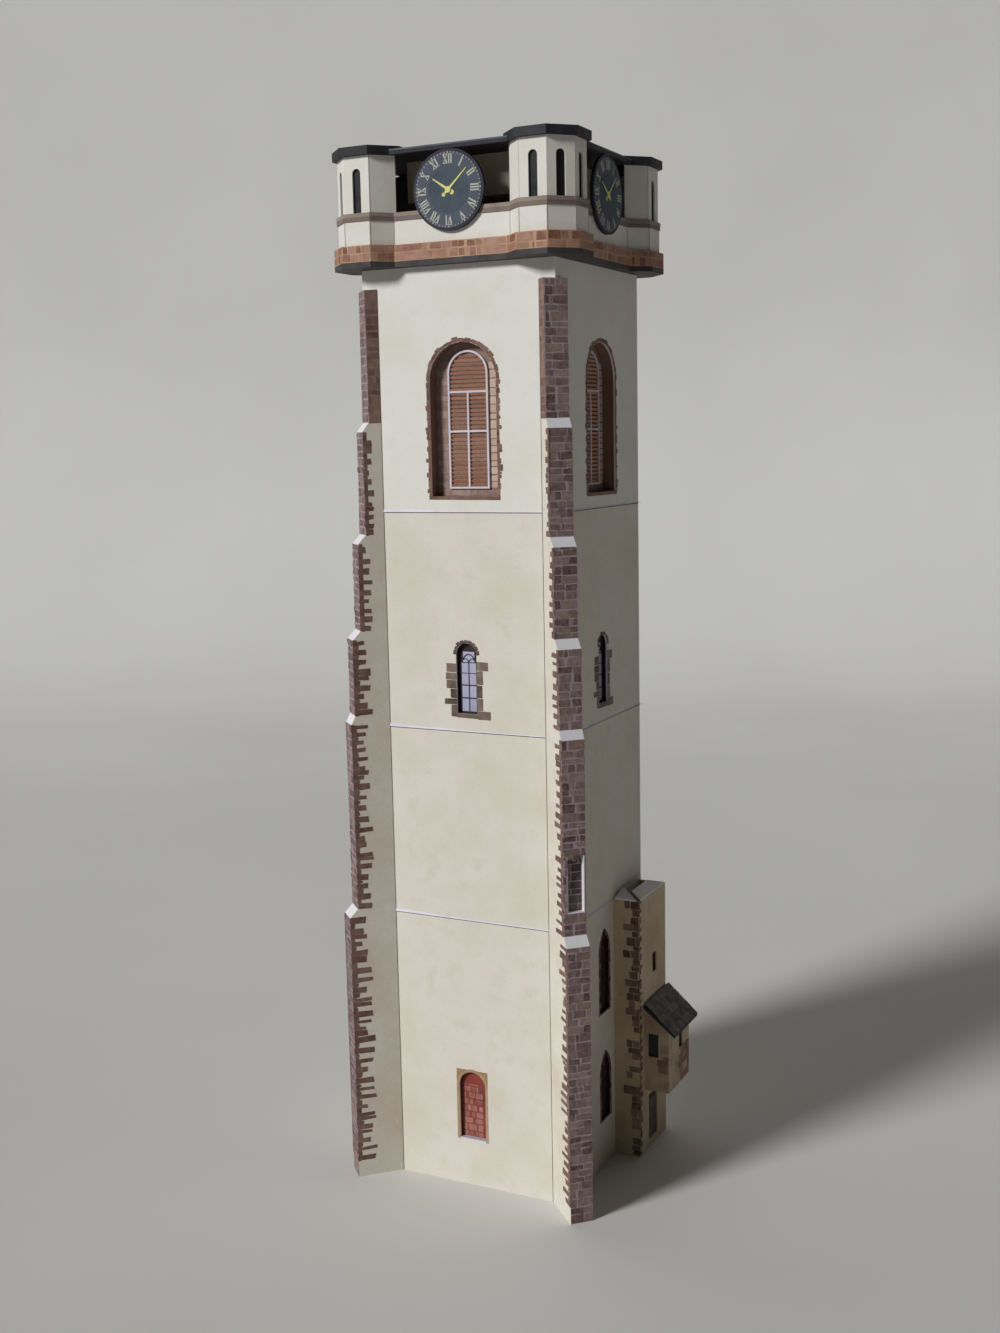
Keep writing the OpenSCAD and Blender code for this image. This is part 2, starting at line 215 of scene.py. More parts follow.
class Nodes:
    """Short calls for placing and linking nodes in one tree."""

    def __init__(self, tree):
        self.tree = tree

    def add(self, kind, links=(), **values):
        """A node with some properties and socket values set, and some sockets linked."""
        node = self.tree.nodes.new("ShaderNode" + kind)
        for key, value in values.items():
            setattr(node, key, value)
        for socket, source in dict(links).items():
            self.put(node.inputs[socket], source)
        return node

    def put(self, socket, source):
        """Links a source to a socket, or sets the socket's value."""
        if isinstance(source, bpy.types.NodeSocket):
            self.tree.links.new(source, socket)
        else:
            socket.default_value = source

    def noise(self, vector, scale, detail=2.0, rough=0.5):
        """Noise value with features of about 1 / scale metres."""
        node = self.add("TexNoise", {"Vector": vector, "Scale": scale, "Detail": detail, "Roughness": rough})
        return node.outputs["Fac"]

    def spread(self, value, start, end, low_out=0.0, high_out=1.0):
        """Value stretched from one range to another and clamped."""
        node = self.add("MapRange", {"Value": value, "From Min": start, "From Max": end,
                                     "To Min": low_out, "To Max": high_out})
        return node.outputs["Result"]

    def mix(self, factor, first, second, blend="MIX"):
        """Colour mix."""
        node = self.add("Mix", data_type="RGBA", blend_type=blend)
        for index, source in ((0, factor), (6, first), (7, second)):
            if isinstance(source, tuple):
                source = tuple(source[:3]) + (1.0,)
            self.put(node.inputs[index], source)
        return node.outputs[2]

    def math(self, operation, first, second=0.0):
        """Arithmetic on two values."""
        return self.add("Math", {0: first, 1: second}, operation=operation).outputs[0]


def paper_group():
    """Card stock: watercolour mottling, fine fibre speckle and a soft uneven surface."""
    group = new_group("Paper Grain", [
        ("Color", "NodeSocketColor", (0.8, 0.8, 0.8, 1)), ("Stain", "NodeSocketColor", (0.7, 0.6, 0.45, 1)),
        ("Mottle", "NodeSocketFloat", 0.5), ("Speckle", "NodeSocketFloat", 0.3),
    ], [("Color", "NodeSocketColor"), ("Roughness", "NodeSocketFloat"), ("Height", "NodeSocketFloat")])
    nodes = Nodes(group)
    start, end = group.nodes.new("NodeGroupInput"), group.nodes.new("NodeGroupOutput")
    where = nodes.add("TexCoord").outputs["Object"]
    wash = nodes.noise(where, 55, 4, 0.6)
    blot = nodes.noise(where, 190, 3, 0.55)
    fibre = nodes.noise(where, 2600, 2, 0.6)
    wash = nodes.spread(wash, 0.42, 0.72)
    blot = nodes.spread(blot, 0.5, 0.8)
    amount = nodes.math("MULTIPLY", nodes.math("MAXIMUM", wash, blot), start.outputs["Mottle"])
    base = nodes.mix(amount, start.outputs["Color"], start.outputs["Stain"])
    grain = nodes.math("MULTIPLY", nodes.spread(fibre, 0.35, 0.75), start.outputs["Speckle"])
    base = nodes.mix(grain, base, nodes.mix(1.0, base, (0.72, 0.70, 0.68), "MULTIPLY"))
    nodes.put(end.inputs["Color"], base)
    nodes.put(end.inputs["Roughness"], nodes.spread(blot, 0, 1, 0.62, 0.8))
    height = nodes.math("ADD", nodes.math("MULTIPLY", fibre, 0.25), wash)
    nodes.put(end.inputs["Height"], height)
    return group


def edge_group():
    """One colour on the faces that look along an axis, and another on the rest, such as cut edges."""
    group = new_group("Cut Edge", [
        ("Color", "NodeSocketColor", (1, 1, 1, 1)), ("Edge Color", "NodeSocketColor", (1, 1, 1, 1)),
        ("Axis", "NodeSocketVector", (0, 0, 1)), ("Facing", "NodeSocketFloat", 0.5),
    ], [("Color", "NodeSocketColor")])
    nodes = Nodes(group)
    start, end = group.nodes.new("NodeGroupInput"), group.nodes.new("NodeGroupOutput")
    normal = nodes.add("NewGeometry").outputs["Normal"]
    dot = nodes.add("VectorMath", {0: normal, 1: start.outputs["Axis"]}, operation="DOT_PRODUCT")
    facing = nodes.math("ABSOLUTE", dot.outputs["Value"])
    mask = nodes.math("GREATER_THAN", facing, start.outputs["Facing"])
    nodes.put(end.inputs["Color"], nodes.mix(mask, start.outputs["Edge Color"], start.outputs["Color"]))
    return group


def stone_group():
    """Printed stone: a tone for each stone, ink blotches and darker specks."""
    group = new_group("Printed Stone", [
        ("Color", "NodeSocketColor", (0.3, 0.2, 0.15, 1)), ("Variation", "NodeSocketFloat", 0.6),
        ("Scale", "NodeSocketFloat", 700.0),
    ], [("Color", "NodeSocketColor"), ("Height", "NodeSocketFloat")])
    nodes = Nodes(group)
    start, end = group.nodes.new("NodeGroupInput"), group.nodes.new("NodeGroupOutput")
    where = nodes.add("TexCoord").outputs["Object"]
    tone = nodes.add("Attribute", attribute_name="tone").outputs["Fac"]
    ink = nodes.add("TexNoise", {"Vector": where, "Scale": start.outputs["Scale"], "Detail": 3.0})
    shade = nodes.math("ADD", nodes.math("MULTIPLY", tone, 0.6),
                       nodes.math("MULTIPLY", nodes.spread(ink.outputs["Fac"], 0.3, 0.7), 0.4))
    dark = nodes.mix(1.0, start.outputs["Color"], (0.42, 0.36, 0.36), "MULTIPLY")
    light = nodes.mix(0.42, start.outputs["Color"], (0.62, 0.50, 0.42))
    varied = nodes.mix(shade, dark, light)
    nodes.put(end.inputs["Color"], nodes.mix(start.outputs["Variation"], start.outputs["Color"], varied))
    nodes.put(end.inputs["Height"], ink.outputs["Fac"])
    return group


GROUPS = {}


def group_node(nodes, name, links):
    """Places one of the shared groups in a material, building it the first time."""
    makers = {"paper": paper_group, "edge": edge_group, "stone": stone_group}
    if name not in GROUPS:
        GROUPS[name] = makers[name]()
    node = nodes.tree.nodes.new("ShaderNodeGroup")
    node.node_tree = GROUPS[name]
    for socket, source in links.items():
        if isinstance(source, (tuple, list)) and len(source) == 3 and socket != "Axis":
            source = tuple(source) + (1.0,)
        nodes.put(node.inputs[socket], source)
    return node


def start_material(name, roughness=0.7):
    """A material with one Principled shader: returns its nodes and the shader."""
    material = bpy.data.materials.new(name)
    material.use_nodes = True
    nodes = Nodes(material.node_tree)
    shader = material.node_tree.nodes["Principled BSDF"]
    shader.inputs["Roughness"].default_value = roughness
    shader.inputs["Specular IOR Level"].default_value = 0.3
    return material, nodes, shader


def bump(nodes, shader, height, distance, strength=0.6):
    """Feeds a height into a shader's normal."""
    node = nodes.add("Bump", {"Height": height, "Strength": strength, "Distance": distance})
    nodes.put(shader.inputs["Normal"], node.outputs["Normal"])


def paper(name, base, stain=None, mottle=0.45, speckle=0.35, edge_axis=None, roughness=0.7):
    """Printed card with grain and mottling, and bare card on its cut edges where an axis is given."""
    material, nodes, shader = start_material(name, roughness)
    stain = stain or tuple(value * 0.8 for value in base)
    grain = group_node(nodes, "paper", {"Color": base, "Stain": stain, "Mottle": mottle, "Speckle": speckle})
    colour_out = grain.outputs["Color"]
    if edge_axis:
        bare = tuple(bpy.context.scene.tower_print.bare_card)
        edge = group_node(nodes, "edge", {"Color": colour_out, "Edge Color": bare, "Axis": edge_axis})
        colour_out = edge.outputs["Color"]
    nodes.put(shader.inputs["Base Color"], colour_out)
    nodes.put(shader.inputs["Roughness"], grain.outputs["Roughness"])
    bump(nodes, shader, grain.outputs["Height"], 0.06 * MM)
    return material


def printed_stone(name, base, variation=0.75, scale=700.0):
    """Ink of a printed stone, with a tone of its own for each stone."""
    material, nodes, shader = start_material(name, 0.65)
    stone = group_node(nodes, "stone", {"Color": base, "Variation": variation, "Scale": scale})
    nodes.put(shader.inputs["Base Color"], stone.outputs["Color"])
    bump(nodes, shader, stone.outputs["Height"], 0.05 * MM)
    return material


def give(node, material):
    """Puts a material on a whole CAD node."""
    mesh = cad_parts[node].data
    mesh.materials.clear()
    mesh.materials.append(material)


# ---- Mesh helpers ----

def finish_piece(name, bm, material, place=None, smooth=False):
    """Turns a bmesh into a piece that rides on the model."""
    if place is not None:
        bmesh.ops.transform(bm, matrix=place, verts=bm.verts)
    bmesh.ops.recalc_face_normals(bm, faces=bm.faces)
    mesh = bpy.data.meshes.new(name)
    bm.to_mesh(mesh)
    bm.free()
    mesh.materials.append(material)
    for polygon in mesh.polygons:
        polygon.use_smooth = smooth
    piece = bpy.data.objects.new(name, mesh)
    bpy.context.scene.collection.objects.link(piece)
    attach(piece, "root")
    return piece


def add_box(bm, x_span, y_span, z_span, turn=None):
    """A box between three pairs of values, turned by a matrix after it is placed."""
    size = Vector((x_span[1] - x_span[0], y_span[1] - y_span[0], z_span[1] - z_span[0]))
    middle = Vector((sum(x_span), sum(y_span), sum(z_span))) / 2
    place = Matrix.Translation(middle) @ Matrix.Diagonal((*size, 1))
    if turn is not None:
        place = turn @ place
    return bmesh.ops.create_cube(bm, size=1, matrix=place)["verts"]


def add_stones(bm, stones, place, wobble, dice):
    """Flat four-cornered stones, each (left, right, low, high, tone), with uneven corners."""
    tone = bm.faces.layers.float.get("tone") or bm.faces.layers.float.new("tone")
    for left, right, bottom, top, shade in stones:
        middle = Vector(((left + right) / 2, (bottom + top) / 2, 0))
        scale = Matrix.Diagonal((right - left, top - bottom, 1, 1))
        verts = bmesh.ops.create_grid(bm, x_segments=1, y_segments=1, size=0.5,
                                      matrix=Matrix.Translation(middle) @ scale)["verts"]
        for vert in verts:
            vert.co.x += dice.uniform(-wobble, wobble)
            vert.co.y += dice.uniform(-wobble, wobble)
            vert.co = place @ vert.co
        verts[0].link_faces[0][tone] = shade


def stone_piece(name, layers, material, lift, rounding, wobble=0.12 * MM, seed=1):
    """A piece of printed stones: layers are (place, stones) pairs, and each stone gets rounded corners."""
    dice = random.Random(seed)
    bm = bmesh.new()
    for place, stones in layers:
        add_stones(bm, stones, place, wobble, dice)
    bmesh.ops.bevel(bm, geom=bm.verts[:], offset=rounding, segments=2, profile=0.5, affect="VERTICES",
                    material=-1, clamp_overlap=True)
    for face in bm.faces:
        face.normal_update()
    bmesh.ops.solidify(bm, geom=bm.faces[:], thickness=-lift)
    return finish_piece(name, bm, material)


def rubble(left, right, bottom, top, settings, dice, widths=(2, 3)):
    """Courses of uneven stones that fill a rectangle."""
    stones = []
    level = bottom
    while level < top - 0.5 * MM:
        height = min(settings.course * dice.uniform(0.75, 1.3), top - level)
        if top - level - height < 0.8 * MM:
            height = top - level
        count = dice.choice(widths)
        cuts = sorted(dice.uniform(0.2, 0.8) for _ in range(count - 1))
        edges = [left] + [left + (right - left) * cut for cut in cuts] + [right]
        for first, last in zip(edges, edges[1:]):
            if last - first > settings.gap * 2.2:
                stones.append((first + settings.gap / 2, last - settings.gap / 2,
                               level + settings.gap / 2, level + height - settings.gap / 2, dice.random()))
        level += height
    return stones


def quoins(foot, top, reach, dice):
    """Alternate long and short stones up an edge, as (length, low, high, tone)."""
    stones = []
    level = foot
    long_one = True
    while level < top - 0.9 * MM:
        height = min(dice.uniform(*((1.1, 2.0) if long_one else (0.8, 1.7))) * MM, top - level)
        share = dice.uniform(0.5, 1.0) if long_one else dice.uniform(0.18, 0.32)
        stones.append((reach * share, level + 0.06 * MM, level + height - 0.06 * MM, dice.uniform(0, 0.6)))
        level += height
        long_one = not long_one or dice.random() < 0.15
    return stones


def toothed(edge, inward, teeth):
    """Stones of a row of quoins whose outer ends lie on an edge, on a plane where inward is +1 or -1."""
    return [(min(edge, edge + inward * reach), max(edge, edge + inward * reach), bottom, top, shade)
            for reach, bottom, top, shade in teeth]


# ---- Operators: one for each group of pieces ----

class CardPainter:
    """Shared form of the operators that dress the tower."""

    bl_options = {"REGISTER", "UNDO"}

    def execute(self, context):
        self.build(context.scene.tower_print, context.scene.tower_stones)
        return {"FINISHED"}


class TOWER_OT_paint_card(CardPainter, bpy.types.Operator):
    """Gives every card part of the frame its printed finish"""

    bl_idname = "tower.paint_card"
    bl_label = "Paint Card"

    def build(self, ink, _stones):
        """One finish for each kind of card."""
        cream_stain, white_stain = tint(208, 198, 178), tint(214, 208, 192)
        for axis_name in ("front", "right"):
            axis = AXES[axis_name]
            white = paper("White plaster " + axis_name, tuple(ink.white_plaster), white_stain,
                          0.5, 0.3, axis)
            cream = paper("Cream plaster " + axis_name, tuple(ink.cream_plaster), cream_stain,
                          0.6, 0.4, axis)
            for side in SIDES:
                if AXES[side] == axis:
                    for storey in (1, 2, 3, 4):
                        give("storey_%d_%s" % (storey, side), white if storey == 4 else cream)
        white, black = tuple(ink.white_plaster), tuple(ink.black_card)
        rim = tuple(bpy.context.scene.tower_dials.rim)
        # Material name, colour, stain, mottle, speckle, roughness and the nodes that take it
        finishes = (
            ("Bare card", tuple(ink.bare_card), tint(210, 208, 218), 0.35, 0.25, 0.7,
             ("base_plate", "annexe_tabs")),
            ("Turret plaster", white, tint(216, 206, 190), 0.5, 0.3, 0.7,
             ("parapets", *("turret_" + corner for corner in TURRETS))),
            ("String course", tint(132, 116, 106), tint(100, 84, 78), 0.7, 0.5, 0.7, ("string_course",)),
            ("Sandstone joints", tuple(ink.sand_joint), tint(150, 96, 70), 0.8, 0.4, 0.7,
             ("sandstone_band",)),
            ("Grey card", tint(70, 66, 66), tint(44, 40, 44), 0.8, 0.4, 0.7, ("gallery_floor",)),
            ("Core plaster", tint(236, 220, 196), tint(196, 174, 148), 0.6, 0.4, 0.7, ("gallery_core",)),
            ("Black card", black, tint(58, 60, 66), 0.7, 0.2, 0.5, ("roof_plate", "turret_caps")),
            ("Dial rim", rim, tint(50, 52, 66), 0.5, 0.35, 0.7, ("clock_dials",)),
            ("Annexe plaster", tuple(ink.annexe_plaster), tint(176, 152, 122), 0.8, 0.5, 0.7,
             ("annexe_front", "annexe_outer", "annexe_back")),
            ("Oriel plaster", tint(200, 180, 152), tint(150, 118, 98), 0.8, 0.5, 0.7, ("oriel_walls",)),
            ("Slate", tint(52, 56, 62), tint(34, 38, 40), 0.8, 0.4, 0.7, ("oriel_roof",)),
            ("Door print", tint(50, 38, 34), tint(28, 22, 22), 0.8, 0.4, 0.7, ("annexe_door",)),
            ("Small window lining", tint(48, 36, 36), tint(30, 22, 26), 0.8, 0.35, 0.7,
             ("small_windows",)),
        )
        for name, base, stain, mottle, speckle, roughness, nodes in finishes:
            material = paper(name, base, stain, mottle, speckle, roughness=roughness)
            for node in nodes:
                give(node, material)
        self.paint_recesses(ink)
        self.paint_buttresses(ink)

    def paint_recesses(self, ink):
        """The linings behind the openings: printed ink on the panel, and a darker colour on the reveal as
        painted shade.
        """
        for side, axis in AXES.items():
            lining = self.lining_with_shaded_reveal("Belfry lining " + side, tint(150, 124, 112), tint(122, 92, 80), axis)
            give("belfry_window_" + side, lining)
        give("pointed_windows", self.lining_with_shaded_reveal("Pointed window lining", tint(84, 40, 36), tint(60, 34, 30),
                                              AXES["right"]))
        # Window stone at half strength: painted shade on the doorway's reveal.
        shade = tuple(value * 0.5 for value in ink.umber)
        give("blind_doorway", self.lining_with_shaded_reveal("Blind doorway", tint(156, 70, 58), shade, AXES["front"]))

    def lining_with_shaded_reveal(self, name, panel, reveal, axis):
        """Blotchy print on the panel, and a darker colour on the reveal round it as painted shade."""
        material, nodes, shader = start_material(name)
        grain = group_node(nodes, "paper", {"Color": panel, "Stain": tuple(v * 0.45 for v in panel),
                                            "Mottle": 1.0, "Speckle": 0.6})
        # Faces that do not look along the axis, the reveals, take the darker colour as painted shade.
        edge = group_node(nodes, "edge", {"Color": grain.outputs["Color"], "Edge Color": reveal,
                                          "Axis": axis})
        nodes.put(shader.inputs["Base Color"], edge.outputs["Color"])
        bump(nodes, shader, grain.outputs["Height"], 0.05 * MM)
        return material

    def paint_buttresses(self, ink):
        """Cream side faces, a joint-coloured end face and bare card on the sloped set-offs."""
        for corner, angle in CORNERS.items():
            material, nodes, shader = start_material("Buttress print " + corner)
            side = group_node(nodes, "paper", {"Color": tuple(ink.cream_plaster),
                                               "Stain": tint(206, 192, 172),
                                               "Mottle": 0.7, "Speckle": 0.4})
            axis = (math.cos(angle), math.sin(angle), 0)
            ends = group_node(nodes, "edge", {"Color": tuple(ink.joint), "Edge Color": side.outputs["Color"],
                                              "Axis": axis, "Facing": 0.95})
            slopes = group_node(nodes, "edge", {"Color": tuple(ink.bare_card),
                                                "Edge Color": ends.outputs["Color"],
                                                "Axis": (0, 0, 1), "Facing": 0.3})
            nodes.put(shader.inputs["Base Color"], slopes.outputs["Color"])
            bump(nodes, shader, side.outputs["Height"], 0.06 * MM)
            give("buttress_" + corner, material)


class TOWER_OT_seams(CardPainter, bpy.types.Operator):
    """Adds the lifted edges where one storey's sleeve stands on the next, and the fold lines painted as
    shade where the buttresses meet the walls
    """

    bl_idname = "tower.seams"
    bl_label = "Seams"

    def build(self, _ink, _stones):
        """Strips of bare card with a dark strip of painted shade in the gap below, on each face."""
        bare = paper("Seam edge", tint(226, 224, 236), tint(190, 186, 204), 0.6, 0.2)
        # Dark card for the painted shade in the seam gaps and in the creases by the buttresses.
        dark = paper("Fold shadow", tint(96, 70, 58), tint(58, 42, 38), 0.7, 0.2)
        meets = HALF - BUTTRESS_T / math.sqrt(2)
        spans = {"front": (-meets, meets), "right": (-meets, HALF),
                 "back": (-HALF, HALF), "left": (-HALF, meets)}
        for number, level in enumerate(SEAMS, 1):
            strips, gap_shadows = bmesh.new(), bmesh.new()
            for side, (start, end) in spans.items():
                dice = random.Random(number * 10 + SIDES.index(side))
                self.lip(strips, wall(side), start, end, level, dice)
                verts = add_box(gap_shadows, (start, end), (level - 0.24 * MM, level - 0.02 * MM), (0, 0.03 * MM))
                bmesh.ops.transform(gap_shadows, matrix=wall(side), verts=verts)
            finish_piece("seam_edge_%d" % number, strips, bare)
            finish_piece("seam_gap_shadow_%d" % number, gap_shadows, dark)
        self.tab_ends(bare)
        # Dark lines of painted shade in the creases where the buttresses meet the walls.
        lines = bmesh.new()
        top = high("buttress_front_right").z
        for side, places in (("front", (-meets, meets)), ("right", (-meets,)), ("left", (meets,))):
            for place in places:
                verts = add_box(lines, (place - 0.14 * MM, place + 0.14 * MM), (0, top), (0, 0.05 * MM))
                bmesh.ops.transform(lines, matrix=wall(side), verts=verts)
        finish_piece("fold_lines", lines, dark)

    def lip(self, bm, place, start, end, level, dice):
        """The lower edge of a sleeve, lifted a little more towards one end."""
        steps = 20
        lifted = dice.uniform(0.35, 0.75) * MM
        verts = bmesh.ops.create_grid(bm, x_segments=steps, y_segments=1, size=0.5)["verts"]
        for vert in verts:
            along = vert.co.x + 0.5
            edge = vert.co.y < 0
            height = (0.26 * MM + lifted * (1 - along) ** 2) * dice.uniform(0.8, 1.1)
            vert.co.x = start + (end - start) * along
            vert.co.y = level if edge else level + height
            vert.co.z = (0.16 if edge else 0.04) * MM
        faces = list({face for vert in verts for face in vert.link_faces})
        solid = bmesh.ops.solidify(bm, geom=faces, thickness=0.03 * MM)["geom"]
        moved = set(verts) | {item for item in solid if isinstance(item, bmesh.types.BMVert)}
        bmesh.ops.transform(bm, matrix=place, verts=list(moved))

    def tab_ends(self, material):
        """Ends of the glue tabs, which stick out at the back corners."""
        tabs = bmesh.new()
        for level in SEAMS[1:]:
            for across in (-1, 1):
                verts = add_box(tabs, (0, 1.1 * MM), (0, 0.12 * MM), (-0.25 * MM, 0.25 * MM))
                for vert in verts:
                    if vert.co.x > 0.5 * MM:
                        vert.co.y *= 0.4
                place = plane((across * HALF, HALF - 0.3 * MM, level), (across, 0.2, 0), UP)
                bmesh.ops.transform(tabs, matrix=place, verts=verts)
        finish_piece("glue_tab_ends", tabs, material)


class TOWER_OT_buttress_stones(CardPainter, bpy.types.Operator):
    """Lays rubble on the buttresses' end faces and quoins along their edges"""

    bl_idname = "tower.buttress_stones"
    bl_label = "Buttress Stones"

    def build(self, ink, stones):
        """Rubble, quoins and the niche, one piece for each face of a buttress."""
        print_ink = printed_stone("Buttress stone", tuple(ink.stone), 0.9, 900.0)
        quoin_ink = printed_stone("Quoin", tint(112, 76, 68), 0.7, 600.0)
        for corner, angle in CORNERS.items():
            turn = Matrix.Rotation(angle, 4, "Z")
            stages = buttress_stages("buttress_" + corner, angle)
            dice = random.Random(corner)
            ends = []
            for out, foot, top in stages:
                place = turn @ plane((out, 0, 0), (0, 1, 0), UP)
                for span in self.solid_spans(corner, foot, top):
                    ends.append((place, rubble(*span, stones, dice)))
            stone_piece("rubble_" + corner, ends, print_ink, stones.lift,
                        0.32 * MM, 0.2 * MM)
            for sign, label in ((1, "right"), (-1, "left")):
                place = turn @ plane((0, sign * BUTTRESS_T / 2, 0), (-sign, 0, 0), UP)
                rows, edges = [], []
                for index, (out, foot, top) in enumerate(stages):
                    width = out - (CORNER_R - BUTTRESS_T / 2)
                    start = foot + (5 * MM if index == 0 else 0)
                    ends = sorted((-sign * out, -sign * (out - width)))
                    if index == len(stages) - 1:
                        rows += rubble(*ends, start, top, stones, dice, (1, 2))
                        edges.append((*ends, start, top, 1.0))
                        continue
                    rows += toothed(-sign * out, sign, quoins(start, top, min(6.4 * MM, width * 0.5), dice))
                    edges += toothed(-sign * out, sign, [(1.2 * MM, start, top, 0.3)])
                under = place @ Matrix.Translation((0, 0, -0.02 * MM))
                stone_piece("quoins_%s_%s" % (corner, label), [(place, rows), (under, edges)], quoin_ink,
                            stones.lift, 0.5 * MM, 0.22 * MM, seed=7 + sign)
        self.niche(ink, stones, print_ink)

    def solid_spans(self, corner, foot, top):
        """Rectangles of an end face, (left, right, low, high), that leave the niche open."""
        edge = BUTTRESS_T / 2
        if corner != "front_right":
            return [(-edge, edge, foot, top)]
        left, _right, sill, head, _back = niche_place()
        if not foot < sill < top:
            return [(-edge, edge, foot, top)]
        return [(-edge, edge, foot, sill), (-edge, left, sill, head), (-edge, edge, head, top)]

    def niche(self, ink, stones, print_ink):
        """Dark rubble in the niche, its white card reveal and its torn head."""
        left, right, sill, head, back = niche_place()
        turn = Matrix.Rotation(CORNERS["front_right"], 4, "Z")
        out = buttress_stages("buttress_front_right", CORNERS["front_right"])[1][0]
        dice = random.Random(5)
        deep = turn @ plane((back, 0, 0), (0, 1, 0), UP)
        dark = printed_stone("Niche stone", tuple(v * 0.4 for v in ink.stone))
        stone_piece("niche_rubble", [(deep, rubble(left, right, sill, head, stones, dice, (2,)))], dark,
                    stones.lift, 0.25 * MM)
        reveal = bmesh.new()
        thin = 0.3 * MM
        face = turn @ plane((0, 0, 0), (0, 1, 0), UP)
        add_box(reveal, (right - thin, right), (sill, head), (back, out + 0.12 * MM), face)
        add_box(reveal, (left, right - thin), (sill, sill + thin), (back, out + 0.08 * MM), face)
        finish_piece("niche_reveal", reveal, paper("Niche card", tuple(ink.bare_card)))
        rim = turn @ plane((out, 0, 0), (0, 1, 0), UP)
        torn = [(x, x + 0.62 * MM, head - dice.uniform(0.3, 1.5) * MM, head + 0.5 * MM, dice.random())
                for x in (left + step * 0.6 * MM for step in range(7))]
        stone_piece("niche_torn_head", [(rim, torn)], print_ink, 0.1 * MM, 0.12 * MM)


def niche_place():
    """The niche's left, right, sill, head and back plane, seen square to the end face."""
    back = Matrix.Rotation(-CORNERS["front_right"], 4, "Z")
    points = [back @ vert.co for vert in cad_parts["buttress_front_right"].data.vertices]
    points = [p for p in points if p.x > CORNER_R + 2 * MM and abs(p.y) < BUTTRESS_T / 2 - 0.05 * MM]
    xs, ys, zs = zip(*points)
    return min(ys), max(ys), min(zs), max(zs), min(xs)


def arch_centre(left, right, top):
    """Middle, springing level and radius of a round arch."""
    radius = (right - left) / 2
    return (left + right) / 2, top - radius, radius


def ragged_surround(place, left, right, sill, top, reach, dice):
    """Layers of uneven stones up both jambs of a round-arched opening and round its head."""
    middle, spring, radius = arch_centre(left, right, top)
    teeth, other = ([(reach * dice.uniform(0.45, 1.25), low_z, high_z, shade)
                     for _reach, low_z, high_z, shade in quoins(sill - 0.6 * MM, spring, reach, dice)]
                    for _jamb in range(2))
    under = place @ Matrix.Translation((0, 0, -0.02 * MM))
    solid = reach * 0.6
    layers = [(place, toothed(left, -1, teeth) + toothed(right, 1, other)),
              (under, [(left - solid, left, sill - 0.4 * MM, spring, 0.2),
                       (right, right + solid, sill - 0.4 * MM, spring, 0.7),
                       (left - solid, right + solid, sill - 0.9 * MM, sill, 0.3)])]
    count = max(9, int(math.pi * radius / (1.9 * MM)))
    half_width = math.pi * radius / count / 2
    for number in range(count):
        angle = math.pi * (number + 0.5) / count - math.pi / 2
        turn = place @ Matrix.Translation((middle, spring, 0)) @ Matrix.Rotation(angle, 4, "Z")
        tall = reach * dice.uniform(0.6, 1.2)
        layers.append((turn, [(-half_width, half_width, radius, radius + tall, dice.uniform(0, 0.6))]))
        layers.append((turn @ Matrix.Translation((0, 0, -0.02 * MM)),
                       [(-half_width * 1.2, half_width * 1.2, radius + 0.1 * MM, radius + solid, 0.3)]))
    return layers


def arch_bar(bm, middle, spring, radius, width, depth, place, lift=0.0):
    """A round arched bar, spun through half a turn about its centre."""
    verts = bmesh.ops.create_grid(bm, x_segments=1, y_segments=1, size=0.5)["verts"]
    for vert in verts:
        x, y = vert.co.x, vert.co.y
        vert.co = Vector((middle + radius + x * width, spring, lift + (y + 0.5) * depth))
    geom = verts + list({edge for vert in verts for edge in vert.link_edges})
    geom += list({face for vert in verts for face in vert.link_faces})
    before = set(bm.verts) - set(verts)
    bmesh.ops.spin(bm, geom=geom, cent=(middle, spring, 0), axis=(0, 0, 1), angle=math.pi, steps=28)
    bmesh.ops.transform(bm, matrix=place, verts=[vert for vert in bm.verts if vert not in before])


